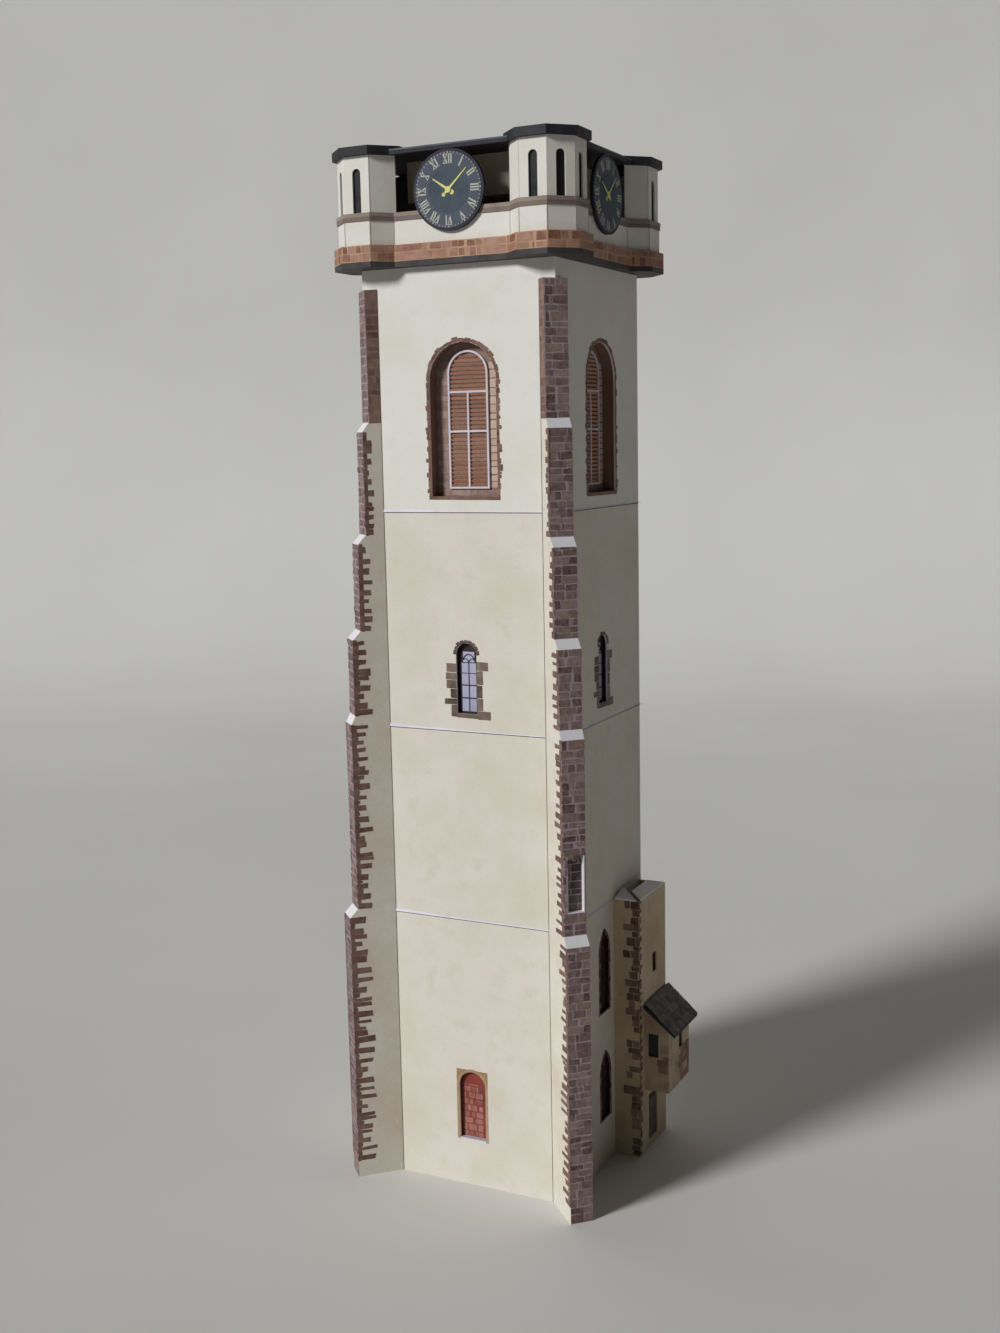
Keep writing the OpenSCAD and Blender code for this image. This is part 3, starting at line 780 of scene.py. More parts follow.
class TOWER_OT_belfry_windows(CardPainter, bpy.types.Operator):
    """Adds the louvred windows, their frames and the stones round the belfry openings"""

    bl_idname = "tower.belfry_windows"
    bl_label = "Belfry Windows"

    def build(self, ink, stones):
        """The same window on each face."""
        umber = printed_stone("Belfry surround", tuple(ink.umber), 0.85, 450.0)
        panel = printed_stone("Belfry panel stone", tint(150, 122, 112), 0.7)
        # Paler copy of the panel stone for the right part of the panel: painted light where light falls into
        # the recess.
        pale = printed_stone("Jamb stone painted light", tint(206, 182, 164), 0.5)
        white = paper("Window frame", tuple(ink.frame_white), tint(190, 180, 196), 0.5, 0.2)
        slat = printed_stone("Louvre", tuple(ink.louvre), 0.7, 1500.0)
        for side in SIDES:
            left, right, sill, top, deep = opening("belfry_window_" + side, side, SEAMS[2])
            dice = random.Random(side)
            middle, _spring, radius = arch_centre(left, right, top)
            stone_piece("belfry_surround_" + side,
                        ragged_surround(wall(side), left, right, sill, top, 1.3 * MM, dice),
                        umber, stones.lift, 0.2 * MM)
            back = wall(side, -deep)
            inner = radius * 0.6
            sill_z, top_z = sill + 2.1 * MM, top - 2.1 * MM
            left_strip = rubble(left + 0.1 * MM, middle - inner, sill, top - radius * 0.45, stones, dice,
                                (1, 2))
            below = rubble(middle - inner, right, sill, sill_z - 0.2 * MM, stones, dice, (3,))
            stone_piece("belfry_panel_" + side, [(back, left_strip + below)], panel,
                        stones.lift, 0.2 * MM)
            # Right part of the panel in the paler stone, as painted light.
            stone_piece("belfry_lit_jamb_" + side,
                        [(back, rubble(middle + inner, right - 0.1 * MM, sill_z, top - radius * 0.5, stones,
                                       dice, (1,)))],
                        pale, stones.lift, 0.2 * MM)
            self.window_frame(side, back, middle, inner, sill_z, top_z, stones.bar, white)
            self.louvres(side, back, middle, inner, sill_z, top_z, stones, slat, dice)

    def levels(self, sill, top, inner):
        """Heights of the two transoms and of the head's springing."""
        spring = top - inner
        upper = sill + (top - sill) * 0.695
        return sill + (top - sill) * 0.41, upper, spring

    def window_frame(self, side, place, middle, inner, sill, top, bar, material):
        """Jambs, sill, two transoms, a mullion below the head and an arched head."""
        bm = bmesh.new()
        lower, upper, spring = self.levels(sill, top, inner)
        depth = (0, 0.75 * MM)
        for x in (-inner, inner - bar):
            add_box(bm, (middle + x, middle + x + bar), (sill, spring), depth, place)
        for level in (sill, lower, upper):
            add_box(bm, (middle - inner + bar, middle + inner - bar), (level, level + bar), depth, place)
        for start, end in ((sill + bar, lower), (lower + bar, upper)):
            add_box(bm, (middle - bar / 2, middle + bar / 2), (start, end), depth, place)
        arch_bar(bm, middle, spring, inner - bar / 2, bar, depth[1], place)
        finish_piece("belfry_frame_" + side, bm, material)

    def louvres(self, side, place, middle, inner, sill, top, stones, material, dice):
        """Tilted slats, cut to the width of the window at each height."""
        bm = bmesh.new()
        tone = bm.faces.layers.float.new("tone")
        _lower, _upper, spring = self.levels(sill, top, inner)
        level = sill + stones.bar + stones.pitch * 0.4
        while level < top - stones.bar * 1.6:
            rise = max(0.0, level + stones.pitch * 0.4 - spring)
            reach = math.sqrt(max(0.0, (inner - stones.bar) ** 2 - rise ** 2))
            tilt = (place @ Matrix.Translation((middle, level, 0.3 * MM))
                    @ Matrix.Rotation(math.radians(28), 4, "X"))
            if reach > stones.bar:
                verts = add_box(bm, (-reach, reach), (-stones.pitch * 0.33, stones.pitch * 0.33),
                                (0, 0.1 * MM), tilt)
                shade = dice.uniform(0.3, 1.0)
                for face in {face for vert in verts for face in vert.link_faces}:
                    face[tone] = shade
            level += stones.pitch
        finish_piece("belfry_louvres_" + side, bm, material)


class TOWER_OT_small_windows(CardPainter, bpy.types.Operator):
    """Adds the glazing and the stone blocks of the small windows"""

    bl_idname = "tower.small_windows"
    bl_label = "Small Windows"

    # Blocks beside the opening: how far each reaches out, and its foot and top above the sill, in mm
    LEFT_BLOCKS = ((1.8, -1.0, 2.6), (3.9, 2.6, 4.4), (1.9, 4.4, 7.2), (3.2, 7.2, 9.8), (3.4, 9.8, 11.9),
                   (3.2, 11.9, 14.6))
    RIGHT_BLOCKS = ((4.2, -1.5, 1.1), (1.8, 1.1, 4.8), (1.7, 4.8, 8.6), (1.9, 8.6, 12.7), (3.6, 12.7, 15.3))

    def build(self, _ink, stones):
        """The same window on each face."""
        block = printed_stone("Small window stone", tint(78, 52, 32), 0.9, 420.0)
        dark_head = printed_stone("Small window head", tint(62, 40, 42), 0.6)
        glass = printed_stone("Window panes", tint(176, 178, 206), 0.45, 300.0)
        lead = paper("Window lead", tint(58, 56, 78), tint(40, 40, 56), 0.5, 0.1)
        for side in SIDES:
            left, right, sill, top, deep = opening("small_windows", side, SEAMS[1], SEAMS[2])
            dice = random.Random("small " + side)
            blocks = []
            for edge, sign, sizes in ((left, -1, self.LEFT_BLOCKS), (right, 1, self.RIGHT_BLOCKS)):
                for reach, foot, head in sizes:
                    ends = sorted((edge, edge + sign * reach * MM))
                    blocks.append((*ends, sill + foot * MM, sill + head * MM - 0.15 * MM, dice.random()))
            blocks += [(left, right, sill - 1.2 * MM, sill, 0.4)]
            stone_piece("small_blocks_" + side, [(wall(side), blocks)], block,
                        stones.lift, 0.15 * MM, 0.08 * MM)
            head = ragged_surround(wall(side), left, right, sill, top, 1.0 * MM, dice)[2:]
            stone_piece("small_head_" + side, head, dark_head, stones.lift, 0.1 * MM,
                        0.05 * MM)
            self.glazing(side, wall(side, -deep), left, right, sill, top, glass, lead, dice)

    def glazing(self, side, place, left, right, sill, top, glass, lead, dice):
        """Pale panes behind dark bars, with a three-lobed head."""
        middle = (left + right) / 2
        half_w = (right - left) / 2 - 0.8 * MM
        foot, head = sill + 0.5 * MM, top - 2.6 * MM
        levels = [foot + (head - foot) * share for share in (0, 0.225, 0.44, 0.64, 0.82)]
        panes = []
        for low_z, high_z in zip(levels, levels[1:]):
            for start, end in ((middle - half_w, middle), (middle, middle + half_w)):
                shade = 0.0 if low_z == foot and start == middle else dice.uniform(0.6, 1.0)
                panes.append((start, end, low_z, high_z, shade))
        panes.append((middle - half_w * 0.72, middle + half_w * 0.72, levels[-1], head, 1.0))
        stone_piece("small_panes_" + side, [(place, panes)], glass, 0.05 * MM,
                    0.05 * MM, 0.02 * MM)
        bars = bmesh.new()
        depth = (0.05 * MM, 0.2 * MM)
        for level, width in zip(levels[1:], (0.34, 0.3, 0.16, 0.2)):
            add_box(bars, (middle - half_w, middle + half_w),
                    (level - width * MM / 2, level + width * MM / 2), depth, place)
        add_box(bars, (middle - 0.12 * MM, middle + 0.12 * MM), (foot, levels[-1]), depth, place)
        for x in (-half_w, half_w):
            add_box(bars, (middle + x - 0.14 * MM, middle + x + 0.14 * MM), (foot, levels[-1]), depth, place)
        for offset in (-0.5, 0.5):
            arch_bar(bars, middle + offset * half_w, levels[-1] - 0.1 * MM, half_w * 0.48, 0.2 * MM,
                     0.15 * MM, place, 0.05 * MM)
        arch_bar(bars, middle, levels[-1] + 0.7 * MM, half_w * 0.66, 0.3 * MM, 0.15 * MM, place, 0.05 * MM)
        finish_piece("small_bars_" + side, bars, lead)


class TOWER_OT_low_openings(CardPainter, bpy.types.Operator):
    """Dresses the blind doorway in front and the two pointed windows on the right"""

    bl_idname = "tower.low_openings"
    bl_label = "Low Openings"

    def build(self, _ink, stones):
        """Printed surrounds, panels and reveals."""
        dice = random.Random(11)
        left, right, sill, top, deep = opening("blind_doorway", "front", 0, SEAMS[0])
        tan = printed_stone("Doorway surround", tint(176, 142, 104), 0.6, 500.0)
        middle, spring, radius = arch_centre(left, right, top)
        strips = [(left - 0.9 * MM, left, sill - 0.3 * MM, spring, 0.5),
                  (right, right + 0.8 * MM, sill - 0.3 * MM, spring, 0.8)]
        corners = []
        for number in range(10):
            angle = math.pi * (number + 0.5) / 10 - math.pi / 2
            turn = wall("front") @ Matrix.Translation((middle, spring, 0)) @ Matrix.Rotation(angle, 4, "Z")
            half = math.pi * radius / 20 + 0.05 * MM
            corners.append((turn, [(-half, half, radius, radius + 0.85 * MM, dice.uniform(0.2, 0.9))]))
        stone_piece("doorway_surround", [(wall("front"), strips)] + corners, tan,
                    stones.lift, 0.12 * MM, 0.05 * MM)
        plate = bmesh.new()
        self.spandrels(plate, left, right, spring, top + 0.6 * MM)
        bmesh.ops.transform(plate, matrix=wall("front", 0.03 * MM), verts=plate.verts)
        finish_piece("doorway_spandrels", plate, tan)
        brick = printed_stone("Doorway brick", tint(158, 76, 62), 0.8, 500.0)
        courses = rubble(left + 0.2 * MM, right - 1.5 * MM, sill + 0.3 * MM, spring, stones, dice, (4, 5))
        stone_piece("doorway_bricks", [(wall("front", -deep), courses)], brick,
                    stones.lift, 0.15 * MM, 0.06 * MM)
        ledge = bmesh.new()
        add_box(ledge, (left, right), (sill, sill + 0.25 * MM), (-deep, 0.08 * MM), wall("front"))
        finish_piece("doorway_ledge", ledge, paper("Doorway ledge", tint(206, 208, 220)))
        maroon = printed_stone("Pointed window stone", tint(104, 52, 46), 0.8, 500.0)
        glass = paper("Pointed window panes", tint(46, 40, 50), tint(28, 26, 34), 0.8, 0.2)
        for number, (lowest, highest) in enumerate(((0, 0.5 * SEAMS[0]), (0.5 * SEAMS[0], SEAMS[0])), 1):
            place = opening("pointed_windows", "right", lowest, highest)
            self.pointed(number, *place, stones, maroon, glass, dice)

    def spandrels(self, bm, left, right, spring, top):
        """Flat corners between a round arch and the square head round it."""
        middle, radius = (left + right) / 2, (right - left) / 2
        side = 0.85 * MM
        for sign in (-1, 1):
            arc = []
            for step in range(9):
                angle = math.pi / 2 * step / 8
                arc.append((middle + sign * radius * math.cos(angle), spring + radius * math.sin(angle)))
            outer = [(middle + sign * (radius + side), spring + (top - spring) * step / 4)
                     for step in range(5)]
            outer += [(middle + sign * (radius + side) * (1 - step / 4), top) for step in range(1, 5)]
            inner_verts = [bm.verts.new((*point, 0)) for point in arc]
            outer_verts = [bm.verts.new((*point, 0)) for point in outer]
            for index in range(8):
                bm.faces.new((inner_verts[index], inner_verts[index + 1], outer_verts[index + 1],
                              outer_verts[index]))

    def pointed(self, number, left, right, sill, top, deep, stones, maroon, glass, dice):
        """Stones up the jambs, and a mullion with two lights on the panel behind."""
        place = wall("right")
        outline = pointed_arch(left, right, sill, top, 10)
        layers = []
        for first, last in zip(outline, outline[1:]):
            along = last - first
            turn = place @ Matrix.Translation((first.x, first.y, 0)) @ Matrix.Rotation(
                math.atan2(along.y, along.x), 4, "Z")
            pieces = max(1, round(along.length / (2.1 * MM)))
            step = along.length / pieces
            layers.append((turn, [(step * i + 0.08 * MM, step * (i + 1) - 0.08 * MM, 0,
                                   dice.uniform(0.7, 1.5) * MM, dice.random()) for i in range(pieces)]))
        stone_piece("pointed_surround_%d" % number, layers, maroon, stones.lift,
                    0.15 * MM, 0.06 * MM)
        back = wall("right", -deep)
        inset = 0.9 * MM
        middle = (left + right) / 2
        bars, panes = bmesh.new(), bmesh.new()
        for start, end in ((left + inset, middle - 0.2 * MM), (middle + 0.2 * MM, right - inset)):
            light = pointed_arch(start, end, sill + inset, top - (top - sill) * 0.24, 8)
            verts = [panes.verts.new((p.x, p.y, 0.05 * MM)) for p in light]
            panes.faces.new(verts)
            ribbon(bars, light, 0.35 * MM, 0.25 * MM)
        bmesh.ops.transform(bars, matrix=back, verts=bars.verts)
        bmesh.ops.transform(panes, matrix=back, verts=panes.verts)
        finish_piece("pointed_bars_%d" % number, bars, maroon)
        finish_piece("pointed_panes_%d" % number, panes, glass)


def pointed_arch(left, right, sill, top, steps):
    """Outline of a pointed opening, from its right foot over the point to its left foot."""
    width = right - left
    rise = min(width * 0.866, (top - sill) * 0.6)
    spring = top - rise
    points = [Vector((right, sill))]
    for step in range(steps + 1):
        angle = math.radians(60) * step / steps
        points.append(Vector((left + width * math.cos(angle), spring + rise * math.sin(angle) / 0.866)))
    for step in range(steps - 1, -1, -1):
        angle = math.radians(60) * step / steps
        points.append(Vector((right - width * math.cos(angle), spring + rise * math.sin(angle) / 0.866)))
    points.append(Vector((left, sill)))
    return points


def ribbon(bm, outline, width, height):
    """A closed bar that follows an outline, standing on the plane z = 0."""
    count = len(outline)
    centre = sum(outline, Vector((0, 0))) / count
    rings = []
    for z, keep in ((0, 0), (height, 0), (height, 1), (0, 1)):
        ring = []
        for point in outline:
            inward = (centre - point).normalized() * width * keep
            ring.append(bm.verts.new((point.x + inward.x, point.y + inward.y, z)))
        rings.append(ring)
    for ring, after in zip(rings, rings[1:] + rings[:1]):
        for index in range(count):
            other = (index + 1) % count
            bm.faces.new((ring[index], ring[other], after[other], after[index]))


def panels(node):
    """Upright outward faces of a node: places with x along the panel, its width, foot and top."""
    found = {}
    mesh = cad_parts[node].data
    for polygon in mesh.polygons:
        normal = polygon.normal
        ends = sorted({(round(mesh.vertices[i].co.x, 6), round(mesh.vertices[i].co.y, 6))
                       for i in polygon.vertices})
        if abs(normal.z) > 0.01 or len(ends) != 2:
            continue
        zs = [mesh.vertices[i].co.z for i in polygon.vertices]
        key = (ends[0], ends[1], round(normal.x, 2), round(normal.y, 2))
        bottom, top = found.get(key, (1.0, 0.0))
        found[key] = (min(bottom, *zs), max(top, *zs))
    result = []
    for (first, last, normal_x, normal_y), (bottom, top) in sorted(found.items()):
        normal = Vector((normal_x, normal_y, 0)).normalized()
        right = UP.cross(normal)
        start, end = Vector((*first, 0)), Vector((*last, 0))
        if (end - start).dot(right) < 0:
            start, end = end, start
        result.append((plane(start, right, UP), (end - start).length, bottom, top))
    return result


def faces_outward(place, centre=(0, 0)):
    """Whether a panel looks away from a point of the plan."""
    return (place.translation.xy - Vector(centre)).dot(place.col[2].xy) > 0


class TOWER_OT_gallery(CardPainter, bpy.types.Operator):
    """Lays the sandstone band, the coping, the core's brick band and the roof sheet, a paler upper ply whose
    grey is also painted highlight on the roof plate's edge
    """

    bl_idname = "tower.gallery"
    bl_label = "Gallery"

    def build(self, ink, stones):
        """Pieces from the band up to the roof."""
        dice = random.Random(21)
        layers = []
        for place, width, bottom, top in panels("sandstone_band"):
            if not faces_outward(place) or width < 1.2 * MM:
                continue
            count = max(1, round(width / (2.5 * MM)))
            layers.append((place, rubble(0.1 * MM, width - 0.1 * MM, bottom + 0.1 * MM, top - 0.1 * MM,
                                         stones, dice, (count, count + 1))))
        sandstone = printed_stone("Sandstone", tuple(ink.sandstone), 0.95, 380.0)
        stone_piece("sandstone_blocks", layers, sandstone, stones.lift, 0.2 * MM,
                    0.16 * MM)
        self.coping()
        self.core(stones, dice)
        self.turret_folds()
        self.lancets()
        self.roof_sheet_highlight()

    def coping(self):
        """A paler strip along the upper half of the string course."""
        bm = bmesh.new()
        for place, width, bottom, top in panels("string_course"):
            if faces_outward(place) and width > 0.5 * MM:
                middle = bottom + (top - bottom) * 0.5
                add_box(bm, (-0.03 * MM, width + 0.03 * MM), (middle, top), (0, 0.07 * MM), place)
        finish_piece("coping", bm, paper("Coping", tint(158, 144, 132), tint(122, 106, 96), 0.8, 0.4))

    def core(self, stones, dice):
        """Dark brick round the foot of the core."""
        half = high("gallery_core").x
        foot, top = high("sandstone_band").z, high("string_course").z + 4.1 * MM
        layers = []
        for side in SIDES:
            place = turned(side) @ plane((0, -half, 0), (1, 0, 0), UP)
            layers.append((place, rubble(-half, half, foot, top, stones, dice, (16, 18, 20))))
            under = place @ Matrix.Translation((0, 0, -0.02 * MM))
            layers.append((under, [(-half, half, foot, top, 0.1)]))
        brick = printed_stone("Core brick", tint(112, 58, 46), 0.7, 500.0)
        stone_piece("core_bricks", layers, brick, stones.lift, 0.15 * MM, 0.08 * MM)

    def turret_folds(self):
        """Soft grey lines where the card of the turrets and parapets is folded."""
        bm = bmesh.new()
        for node in ["turret_" + corner for corner in TURRETS] + ["parapets"]:
            centre = (0, 0)
            if node != "parapets":
                centre = tuple(value * TURRET_C for value in TURRETS[node[len("turret_"):]])
            for place, width, bottom, top in panels(node):
                if width > 3 * MM and faces_outward(place, centre):
                    add_box(bm, (0, 0.16 * MM), (bottom, top), (0, 0.04 * MM), place)
                    add_box(bm, (width - 0.16 * MM, width), (bottom, top), (0, 0.04 * MM), place)
        finish_piece("gallery_fold_lines", bm, paper("Gallery fold", tint(176, 160, 150), None, 0.6, 0.3))

    def lancets(self):
        """Dark card behind the turrets' lancets, as painted shadow for the dark inside of the turrets."""
        bm = bmesh.new()
        foot = high("string_course").z
        for x_sign, y_sign in TURRETS.values():
            middle = Vector((x_sign * TURRET_C, y_sign * TURRET_C, 0))
            outward = math.atan2(y_sign, x_sign)
            for step in (-1, 0, 1):
                angle = outward + step * math.pi / 4
                normal = Vector((math.cos(angle), math.sin(angle), 0))
                place = plane(middle + normal * (TURRET_A - 1.1 * MM), UP.cross(normal), UP)
                add_box(bm, (-2.2 * MM, 2.2 * MM), (foot + 0.2 * MM, foot + 13.4 * MM), (0, 0.1 * MM), place)
        # Dark card as painted shadow inside the turrets.
        finish_piece("lancet_painted_shadow", bm, paper("Lancet painted shadow", tint(26, 24, 30), None, 0.4, 0.1))

    def roof_sheet_highlight(self):
        """A thin grey sheet on the black roof plate: a paler upper ply, and its grey is painted highlight
        along the lit upper edge.
        """
        bottom, top = low("roof_plate").z, high("roof_plate").z
        reach = high("roof_plate").x + 0.08 * MM
        bm = bmesh.new()
        # Grey upper ply, partly painted highlight on the lit top of the roof plate's edge.
        add_box(bm, (-reach, reach), (-reach, reach), (bottom + (top - bottom) * 0.72, top + 0.04 * MM))
        finish_piece("roof_sheet_highlight", bm, paper("Roof sheet painted highlight", tint(92, 104, 108), tint(60, 66, 74), 0.7, 0.2))


class TOWER_OT_clocks(CardPainter, bpy.types.Operator):
    """Prints a dial with numerals and hands on each side of the gallery"""

    bl_idname = "tower.clocks"
    bl_label = "Clocks"

    def build(self, _ink, _stones):
        """The same dial on each side."""
        dials = bpy.context.scene.tower_dials
        depth = -low("clock_dials").y
        radius = (high("clock_dials").z - low("clock_dials").z) / 2
        level = (high("clock_dials").z + low("clock_dials").z) / 2
        ring_ink = paper("Chapter ring", tuple(dials.ring), tint(92, 92, 106), 0.9, 0.5)
        centre_ink = paper("Dial centre", tuple(dials.centre), tint(48, 60, 72), 0.9, 0.5)
        figure_ink = paper("Numerals", tuple(dials.numeral), tint(178, 184, 180), 0.4, 0.1)
        hand_ink = paper("Hands", tuple(dials.hand), tint(206, 196, 110), 0.4, 0.1)
        for side in SIDES:
            place = turned(side) @ plane((0, -depth, level), (1, 0, 0), UP)
            ring = bmesh.new()
            disc(ring, (0, 0), radius * 0.93, 0.05 * MM)
            finish_piece("dial_ring_" + side, ring, ring_ink, place)
            centre = bmesh.new()
            disc(centre, (0, 0), radius * 0.56, 0.09 * MM)
            finish_piece("dial_centre_" + side, centre, centre_ink, place)
            figures = bmesh.new()
            self.minute_marks(figures, radius)
            for hour, text in enumerate(NUMERALS):
                self.numeral(figures, text, -math.radians(30 * hour), radius * 0.75, 2.35 * MM)
            finish_piece("dial_numerals_" + side, figures, figure_ink, place)
            hands = bmesh.new()
            minutes = dials.hour % 1
            self.hand(hands, -math.tau * dials.hour / 12, radius * 0.52, 0.85 * MM, 0.13 * MM)
            self.hand(hands, -math.tau * minutes, radius * 0.72, 0.7 * MM, 0.19 * MM)
            disc(hands, (0, 0), 0.85 * MM, 0.26 * MM)
            finish_piece("dial_hands_" + side, hands, hand_ink, place)

    def minute_marks(self, bm, radius):
        """Short strokes round the ring's outer edge."""
        for minute in range(60):
            turn = Matrix.Rotation(-math.tau * minute / 60, 4, "Z")
            wide = (0.16 if minute % 5 == 0 else 0.07) * MM
            add_box(bm, (-wide, wide), (radius * 0.885, radius * 0.925), (0, 0.08 * MM), turn)

    def numeral(self, bm, text, angle, distance, height):
        """A Roman numeral with serifs, its head away from the dial's centre."""
        advance = {"I": 0.3, "V": 0.62, "X": 0.66}
        total = sum(advance[letter] for letter in text) * height
        start = -total / 2
        turn = Matrix.Rotation(angle, 4, "Z") @ Matrix.Translation((0, distance, 0))
        lift = (0, 0.09 * MM)
        half = height / 2
        for letter in text:
            width = advance[letter] * height
            middle = start + width / 2
            lean = {"I": (0,), "V": (1, -1), "X": (1, -1)}[letter]
            for sign in lean:
                slope = math.atan2(width * (0.34 if letter == "V" else 0.72), height) * sign
                across = middle - sign * width * 0.17 if letter == "V" else middle
                stroke = (0.17 if sign >= 0 else 0.09) * height / 2
                lean_turn = turn @ Matrix.Translation((across, 0, 0)) @ Matrix.Rotation(slope, 4, "Z")
                add_box(bm, (-stroke, stroke), (-half, half), lift, lean_turn)
            serif = width * 0.46
            add_box(bm, (middle - serif, middle + serif), (half - 0.1 * MM, half + 0.1 * MM), lift, turn)
            if letter != "V":
                foot = (-half - 0.1 * MM, -half + 0.1 * MM)
                add_box(bm, (middle - serif, middle + serif), foot, lift, turn)
            start += width

    def hand(self, bm, angle, reach, width, lift):
        """A tapering hand with a round tail."""
        turn = Matrix.Rotation(angle, 4, "Z")
        verts = add_box(bm, (-width / 2, width / 2), (-reach * 0.2, reach), (lift - 0.06 * MM, lift))
        for vert in verts:
            if vert.co.y > 0:
                vert.co.x *= 0.3
        bmesh.ops.transform(bm, matrix=turn, verts=verts)
        tail = turn @ Vector((0, -reach * 0.24, 0))
        disc(bm, (tail.x, tail.y), width * 0.75, lift)


def disc(bm, centre, radius, height, sides=64):
    """A round plate on the plane z = 0."""
    place = Matrix.Translation((centre[0], centre[1], height / 2))
    bmesh.ops.create_cone(bm, cap_ends=True, segments=sides, radius1=radius, radius2=radius,
                          depth=height, matrix=place)


def patches(left, right, bottom, top, share, dice, size=2.3 * MM):
    """Scattered stones over part of a wall, thicker towards its right edge."""
    stones = []
    level = bottom
    while level < top - 0.6 * MM:
        height = min(size * dice.uniform(0.7, 1.2), top - level)
        reach = (right - left) * min(1.0, share * dice.uniform(0.45, 1.3))
        start = right - reach
        while start < right - 0.5 * MM:
            end = min(right, start + size * dice.uniform(0.8, 1.9))
            if dice.random() < 0.9:
                stones.append((start + 0.08 * MM, end - 0.08 * MM, level + 0.08 * MM,
                               level + height - 0.08 * MM, dice.random()))
            start = end
        level += height
    return stones


class TOWER_OT_annexe(CardPainter, bpy.types.Operator):
    """Prints quoins on the stair annexe and dresses its door"""

    bl_idname = "tower.annexe"
    bl_label = "Annexe"

    def build(self, _ink, stones):
        """Front and outer faces of the annexe."""
        dice = random.Random(31)
        left, right = HALF + 0.1 * MM, high("annexe_front").x
        front, top = low("annexe_front").y, high("annexe_front").z
        face = plane((0, front, 0), (1, 0, 0), UP)
        brown = printed_stone("Annexe quoin", tint(106, 72, 52), 0.85, 450.0)
        layers = [(face, patches(left, right, CARD, top, 0.52, dice))]
        outer = plane((right, 0, 0), (0, 1, 0), UP)
        strip = [(front, front + reach, bottom, head, tone)
                 for reach, bottom, head, tone in quoins(CARD, top, 2.6 * MM, dice)]
        layers.append((outer, strip))
        stone_piece("annexe_quoins", layers, brown, stones.lift, 0.25 * MM, 0.16 * MM)
        self.door(stones)

    def door(self, stones):
        """Planks on the annexe's door."""
        foot, top = low("annexe_door").z + CARD, high("annexe_door").z - CARD
        near, far = low("annexe_door").y + CARD, high("annexe_door").y - CARD
        back = plane((low("annexe_door").x + CARD, 0, 0), (0, 1, 0), UP)
        count = 5
        step = (far - near) / count
        planks = [(near + step * i + 0.05 * MM, near + step * (i + 1) - 0.05 * MM, foot, top - 2.4 * MM, 0.5)
                  for i in range(count)]
        wood = printed_stone("Door plank", tint(46, 34, 30), 0.7, 400.0)
        stone_piece("annexe_planks", [(back, planks)], wood, stones.lift, 0.06 * MM,
                    0.02 * MM)


class TOWER_OT_oriel(CardPainter, bpy.types.Operator):
    """Adds stonework, windows and slate courses to the oriel"""

    bl_idname = "tower.oriel"
    bl_label = "Oriel"

    def build(self, _ink, stones):
        """Side and outer faces, then the roof."""
        dice = random.Random(41)
        inner, outer = low("oriel_walls").x, high("oriel_walls").x
        near, far = low("oriel_walls").y, high("oriel_walls").y
        foot, eave = low("oriel_walls").z, low("oriel_roof").z
        pink = printed_stone("Oriel stone", tint(142, 98, 84), 0.8, 400.0)
        side_face = plane((0, near, 0), (1, 0, 0), UP)
        outer_face = plane((outer, 0, 0), (0, 1, 0), UP)
        drop = 0.62 * (eave - foot)
        layers = [(side_face, patches(inner + 3.2 * MM, outer, foot + 4 * MM, foot + drop, 0.75, dice)),
                  (outer_face, patches(near, far, foot + 0.3 * MM, foot + drop, 0.9, dice))]
        stone_piece("oriel_stones", layers, pink, stones.lift, 0.25 * MM, 0.14 * MM)
        self.panes(inner, outer, near, far, foot, eave)
        self.slates(dice)

    def panes(self, inner, outer, near, far, foot, eave):
        """Dark glazing just inside the oriel's walls."""
        bm = bmesh.new()
        tall = (foot + 9 * MM, eave)
        add_box(bm, (inner + 0.4 * MM, outer - 0.7 * MM), (near + 0.7 * MM, near + 0.8 * MM), tall)
        add_box(bm, (outer - 0.8 * MM, outer - 0.7 * MM), (near + 0.9 * MM, far - 0.9 * MM), tall)
        glass = paper("Oriel glazing", tint(52, 60, 56), None, 0.6, 0.2)
        finish_piece("oriel_glazing", bm, glass)

    def slates(self, dice):
        """Overlapping slates on the roof's slope."""
        peak, edge = high("oriel_roof"), low("oriel_roof")
        rows = 5
        run, fall = peak.x - edge.x, peak.z - edge.z
        slope = Vector((-run, 0, fall)).normalized()
        face = plane((peak.x, 0, edge.z + 1.0 * MM), (0, 1, 0), slope)
        reach = math.hypot(run, fall) * 0.94
        slates = []
        for row in range(rows):
            bottom = reach * row / rows
            start = edge.y + (0.0 if row % 2 else -0.9 * MM)
            while start < peak.y:
                end = start + 2.0 * MM
                first, last = max(start, edge.y), min(end, peak.y)
                if last - first > 0.4 * MM:
                    slates.append((first + 0.04 * MM, last - 0.04 * MM, bottom + 0.05 * MM,
                                   bottom + reach / rows - 0.03 * MM, dice.random()))
                start = end
        slate = printed_stone("Slate course", tint(60, 66, 72), 0.7, 500.0)
        stone_piece("oriel_slates", [(face, slates)], slate, 0.04 * MM, 0.05 * MM,
                    0.02 * MM)


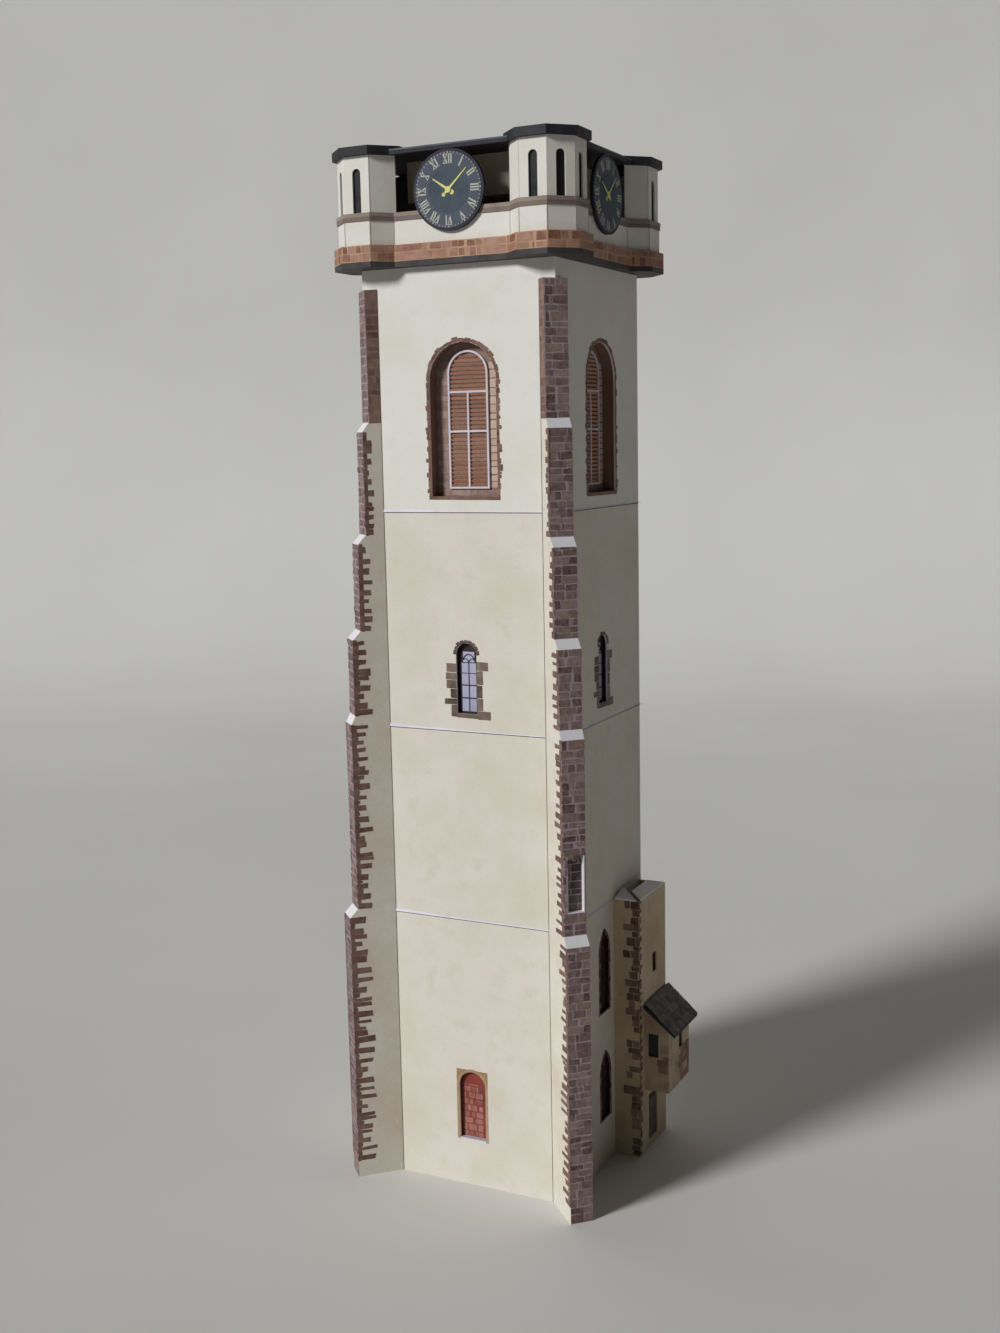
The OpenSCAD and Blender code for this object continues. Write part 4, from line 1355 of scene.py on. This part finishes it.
class TOWER_OT_stage(bpy.types.Operator):
    """Adds the floor, the backdrop, the lights and the camera"""

    bl_idname = "tower.stage"
    bl_label = "Stage"
    bl_options = {"REGISTER", "UNDO"}

    CAMERA = (0.20188, -0.41374, 0.22159)
    YAW, PITCH, ROLL = 26.42, -8.42, -1.15

    def execute(self, context):
        """A pale sweep, a key from the left, a weak fill and a fitted camera."""
        scene = context.scene
        self.sweep(scene)
        self.lights(scene)
        self.camera(scene)
        scene.view_settings.view_transform = "Standard"
        scene.view_settings.look = "None"
        return {"FINISHED"}

    def sweep(self, scene):
        """A floor that curves up into a backdrop behind the model."""
        bm = bmesh.new()
        radius, reach, behind, steps = 0.35, 2.2, 0.75, 24
        profile = [(-reach, 0.0), (behind, 0.0)]
        for step in range(1, steps + 1):
            angle = math.pi / 2 * step / steps
            profile.append((behind + radius * math.sin(angle), radius * (1 - math.cos(angle))))
        profile.append((behind + radius, 2.4))
        turn = Matrix.Rotation(math.radians(self.YAW), 4, "Z")
        columns = [[bm.verts.new(turn @ Vector((x, y, z))) for y, z in profile] for x in (-2.6, 2.6)]
        for first, last, first_up, last_up in zip(columns[0], columns[1], columns[0][1:], columns[1][1:]):
            bm.faces.new((first, last, last_up, first_up))
        mesh = bpy.data.meshes.new("sweep")
        bm.to_mesh(mesh)
        bm.free()
        for polygon in mesh.polygons:
            polygon.use_smooth = True
        material, nodes, shader = start_material("Sweep", 0.9)
        where = nodes.add("TexCoord").outputs["Object"]
        cloud = nodes.spread(nodes.noise(where, 4, 3), 0.3, 0.7)
        nodes.put(shader.inputs["Base Color"], nodes.mix(cloud, tint(216, 215, 212), tint(223, 222, 219)))
        mesh.materials.append(material)
        floor = bpy.data.objects.new("sweep", mesh)
        scene.collection.objects.link(floor)

    def lights(self, scene):
        """The key stands to the front left and the sky fills weakly."""
        key = bpy.data.lights.new("key", "SUN")
        key.energy = 2.75
        key.angle = math.radians(14)
        key.color = (0.98, 0.99, 1.0)
        lamp = bpy.data.objects.new("key", key)
        toward = Vector((-math.sin(math.radians(28)) * math.cos(math.radians(25)),
                         -math.cos(math.radians(28)) * math.cos(math.radians(25)),
                         math.sin(math.radians(25))))
        lamp.rotation_euler = toward.to_track_quat("Z", "Y").to_euler()
        lamp.location = toward
        scene.collection.objects.link(lamp)
        world = bpy.data.worlds.new("sky")
        world.use_nodes = True
        nodes = Nodes(world.node_tree)
        fill = world.node_tree.nodes["Background"]
        nodes.put(fill.inputs["Color"], (1.0, 0.93, 0.84, 1))
        nodes.put(fill.inputs["Strength"], 0.04)
        seen = nodes.add("Background", {"Color": (*tint(196, 195, 192), 1), "Strength": 1.0})
        camera_ray = nodes.add("LightPath").outputs["Is Camera Ray"]
        both = nodes.add("MixShader", {0: camera_ray, 1: fill.outputs[0], 2: seen.outputs[0]})
        nodes.put(world.node_tree.nodes["World Output"].inputs["Surface"], both.outputs[0])
        scene.world = world

    def camera(self, scene):
        """A slightly rolled camera a little above the middle of the tower."""
        yaw, pitch, roll = (math.radians(value) for value in (self.YAW, self.PITCH, self.ROLL))
        forward = Vector((-math.sin(yaw) * math.cos(pitch), math.cos(yaw) * math.cos(pitch),
                          math.sin(pitch)))
        right = Vector((math.cos(yaw), math.sin(yaw), 0))
        upward = right.cross(forward)
        rolled = right * math.cos(roll) + upward * math.sin(roll)
        top = upward * math.cos(roll) - right * math.sin(roll)
        lens = bpy.data.cameras.new("camera")
        lens.sensor_fit = "VERTICAL"
        lens.sensor_height = 36
        lens.lens = 41.44
        lens.clip_start = 0.01
        camera = bpy.data.objects.new("camera", lens)
        pose = Matrix((rolled, top, -forward)).transposed().to_4x4()
        pose.translation = self.CAMERA
        camera.matrix_world = pose
        scene.collection.objects.link(camera)
        scene.camera = camera


# ---- Add-on ----

OPERATORS = (TOWER_OT_paint_card, TOWER_OT_seams, TOWER_OT_buttress_stones, TOWER_OT_belfry_windows,
             TOWER_OT_small_windows, TOWER_OT_low_openings, TOWER_OT_gallery, TOWER_OT_clocks,
             TOWER_OT_annexe, TOWER_OT_oriel, TOWER_OT_stage)
SETTINGS = {"tower_print": PrintSettings, "tower_stones": StoneSettings, "tower_dials": DialSettings}


class TOWER_PT_panel(bpy.types.Panel):
    """Lists the settings and the operators"""

    bl_idname = "TOWER_PT_panel"
    bl_label = "Card Bell Tower"
    bl_space_type = "VIEW_3D"
    bl_region_type = "UI"
    bl_category = "Card Tower"

    def draw(self, context):
        """Settings first, then a button for each operator."""
        for name, settings in SETTINGS.items():
            box = self.layout.box()
            for key in settings.__annotations__:
                box.prop(getattr(context.scene, name), key)
        for operator in OPERATORS:
            self.layout.operator(operator.bl_idname)


def register():
    """Adds the classes and the settings."""
    for cls in (*SETTINGS.values(), *OPERATORS, TOWER_PT_panel):
        bpy.utils.register_class(cls)
    for name, settings in SETTINGS.items():
        setattr(bpy.types.Scene, name, PointerProperty(type=settings))


def unregister():
    """Takes the settings and the classes away."""
    for name in SETTINGS:
        delattr(bpy.types.Scene, name)
    for cls in reversed((*SETTINGS.values(), *OPERATORS, TOWER_PT_panel)):
        bpy.utils.unregister_class(cls)


def main():
    """Builds the whole scene."""
    register()
    for operator in OPERATORS:
        group, name = operator.bl_idname.split(".")
        getattr(getattr(bpy.ops, group), name)()


if __name__ == "__main__":
    main()
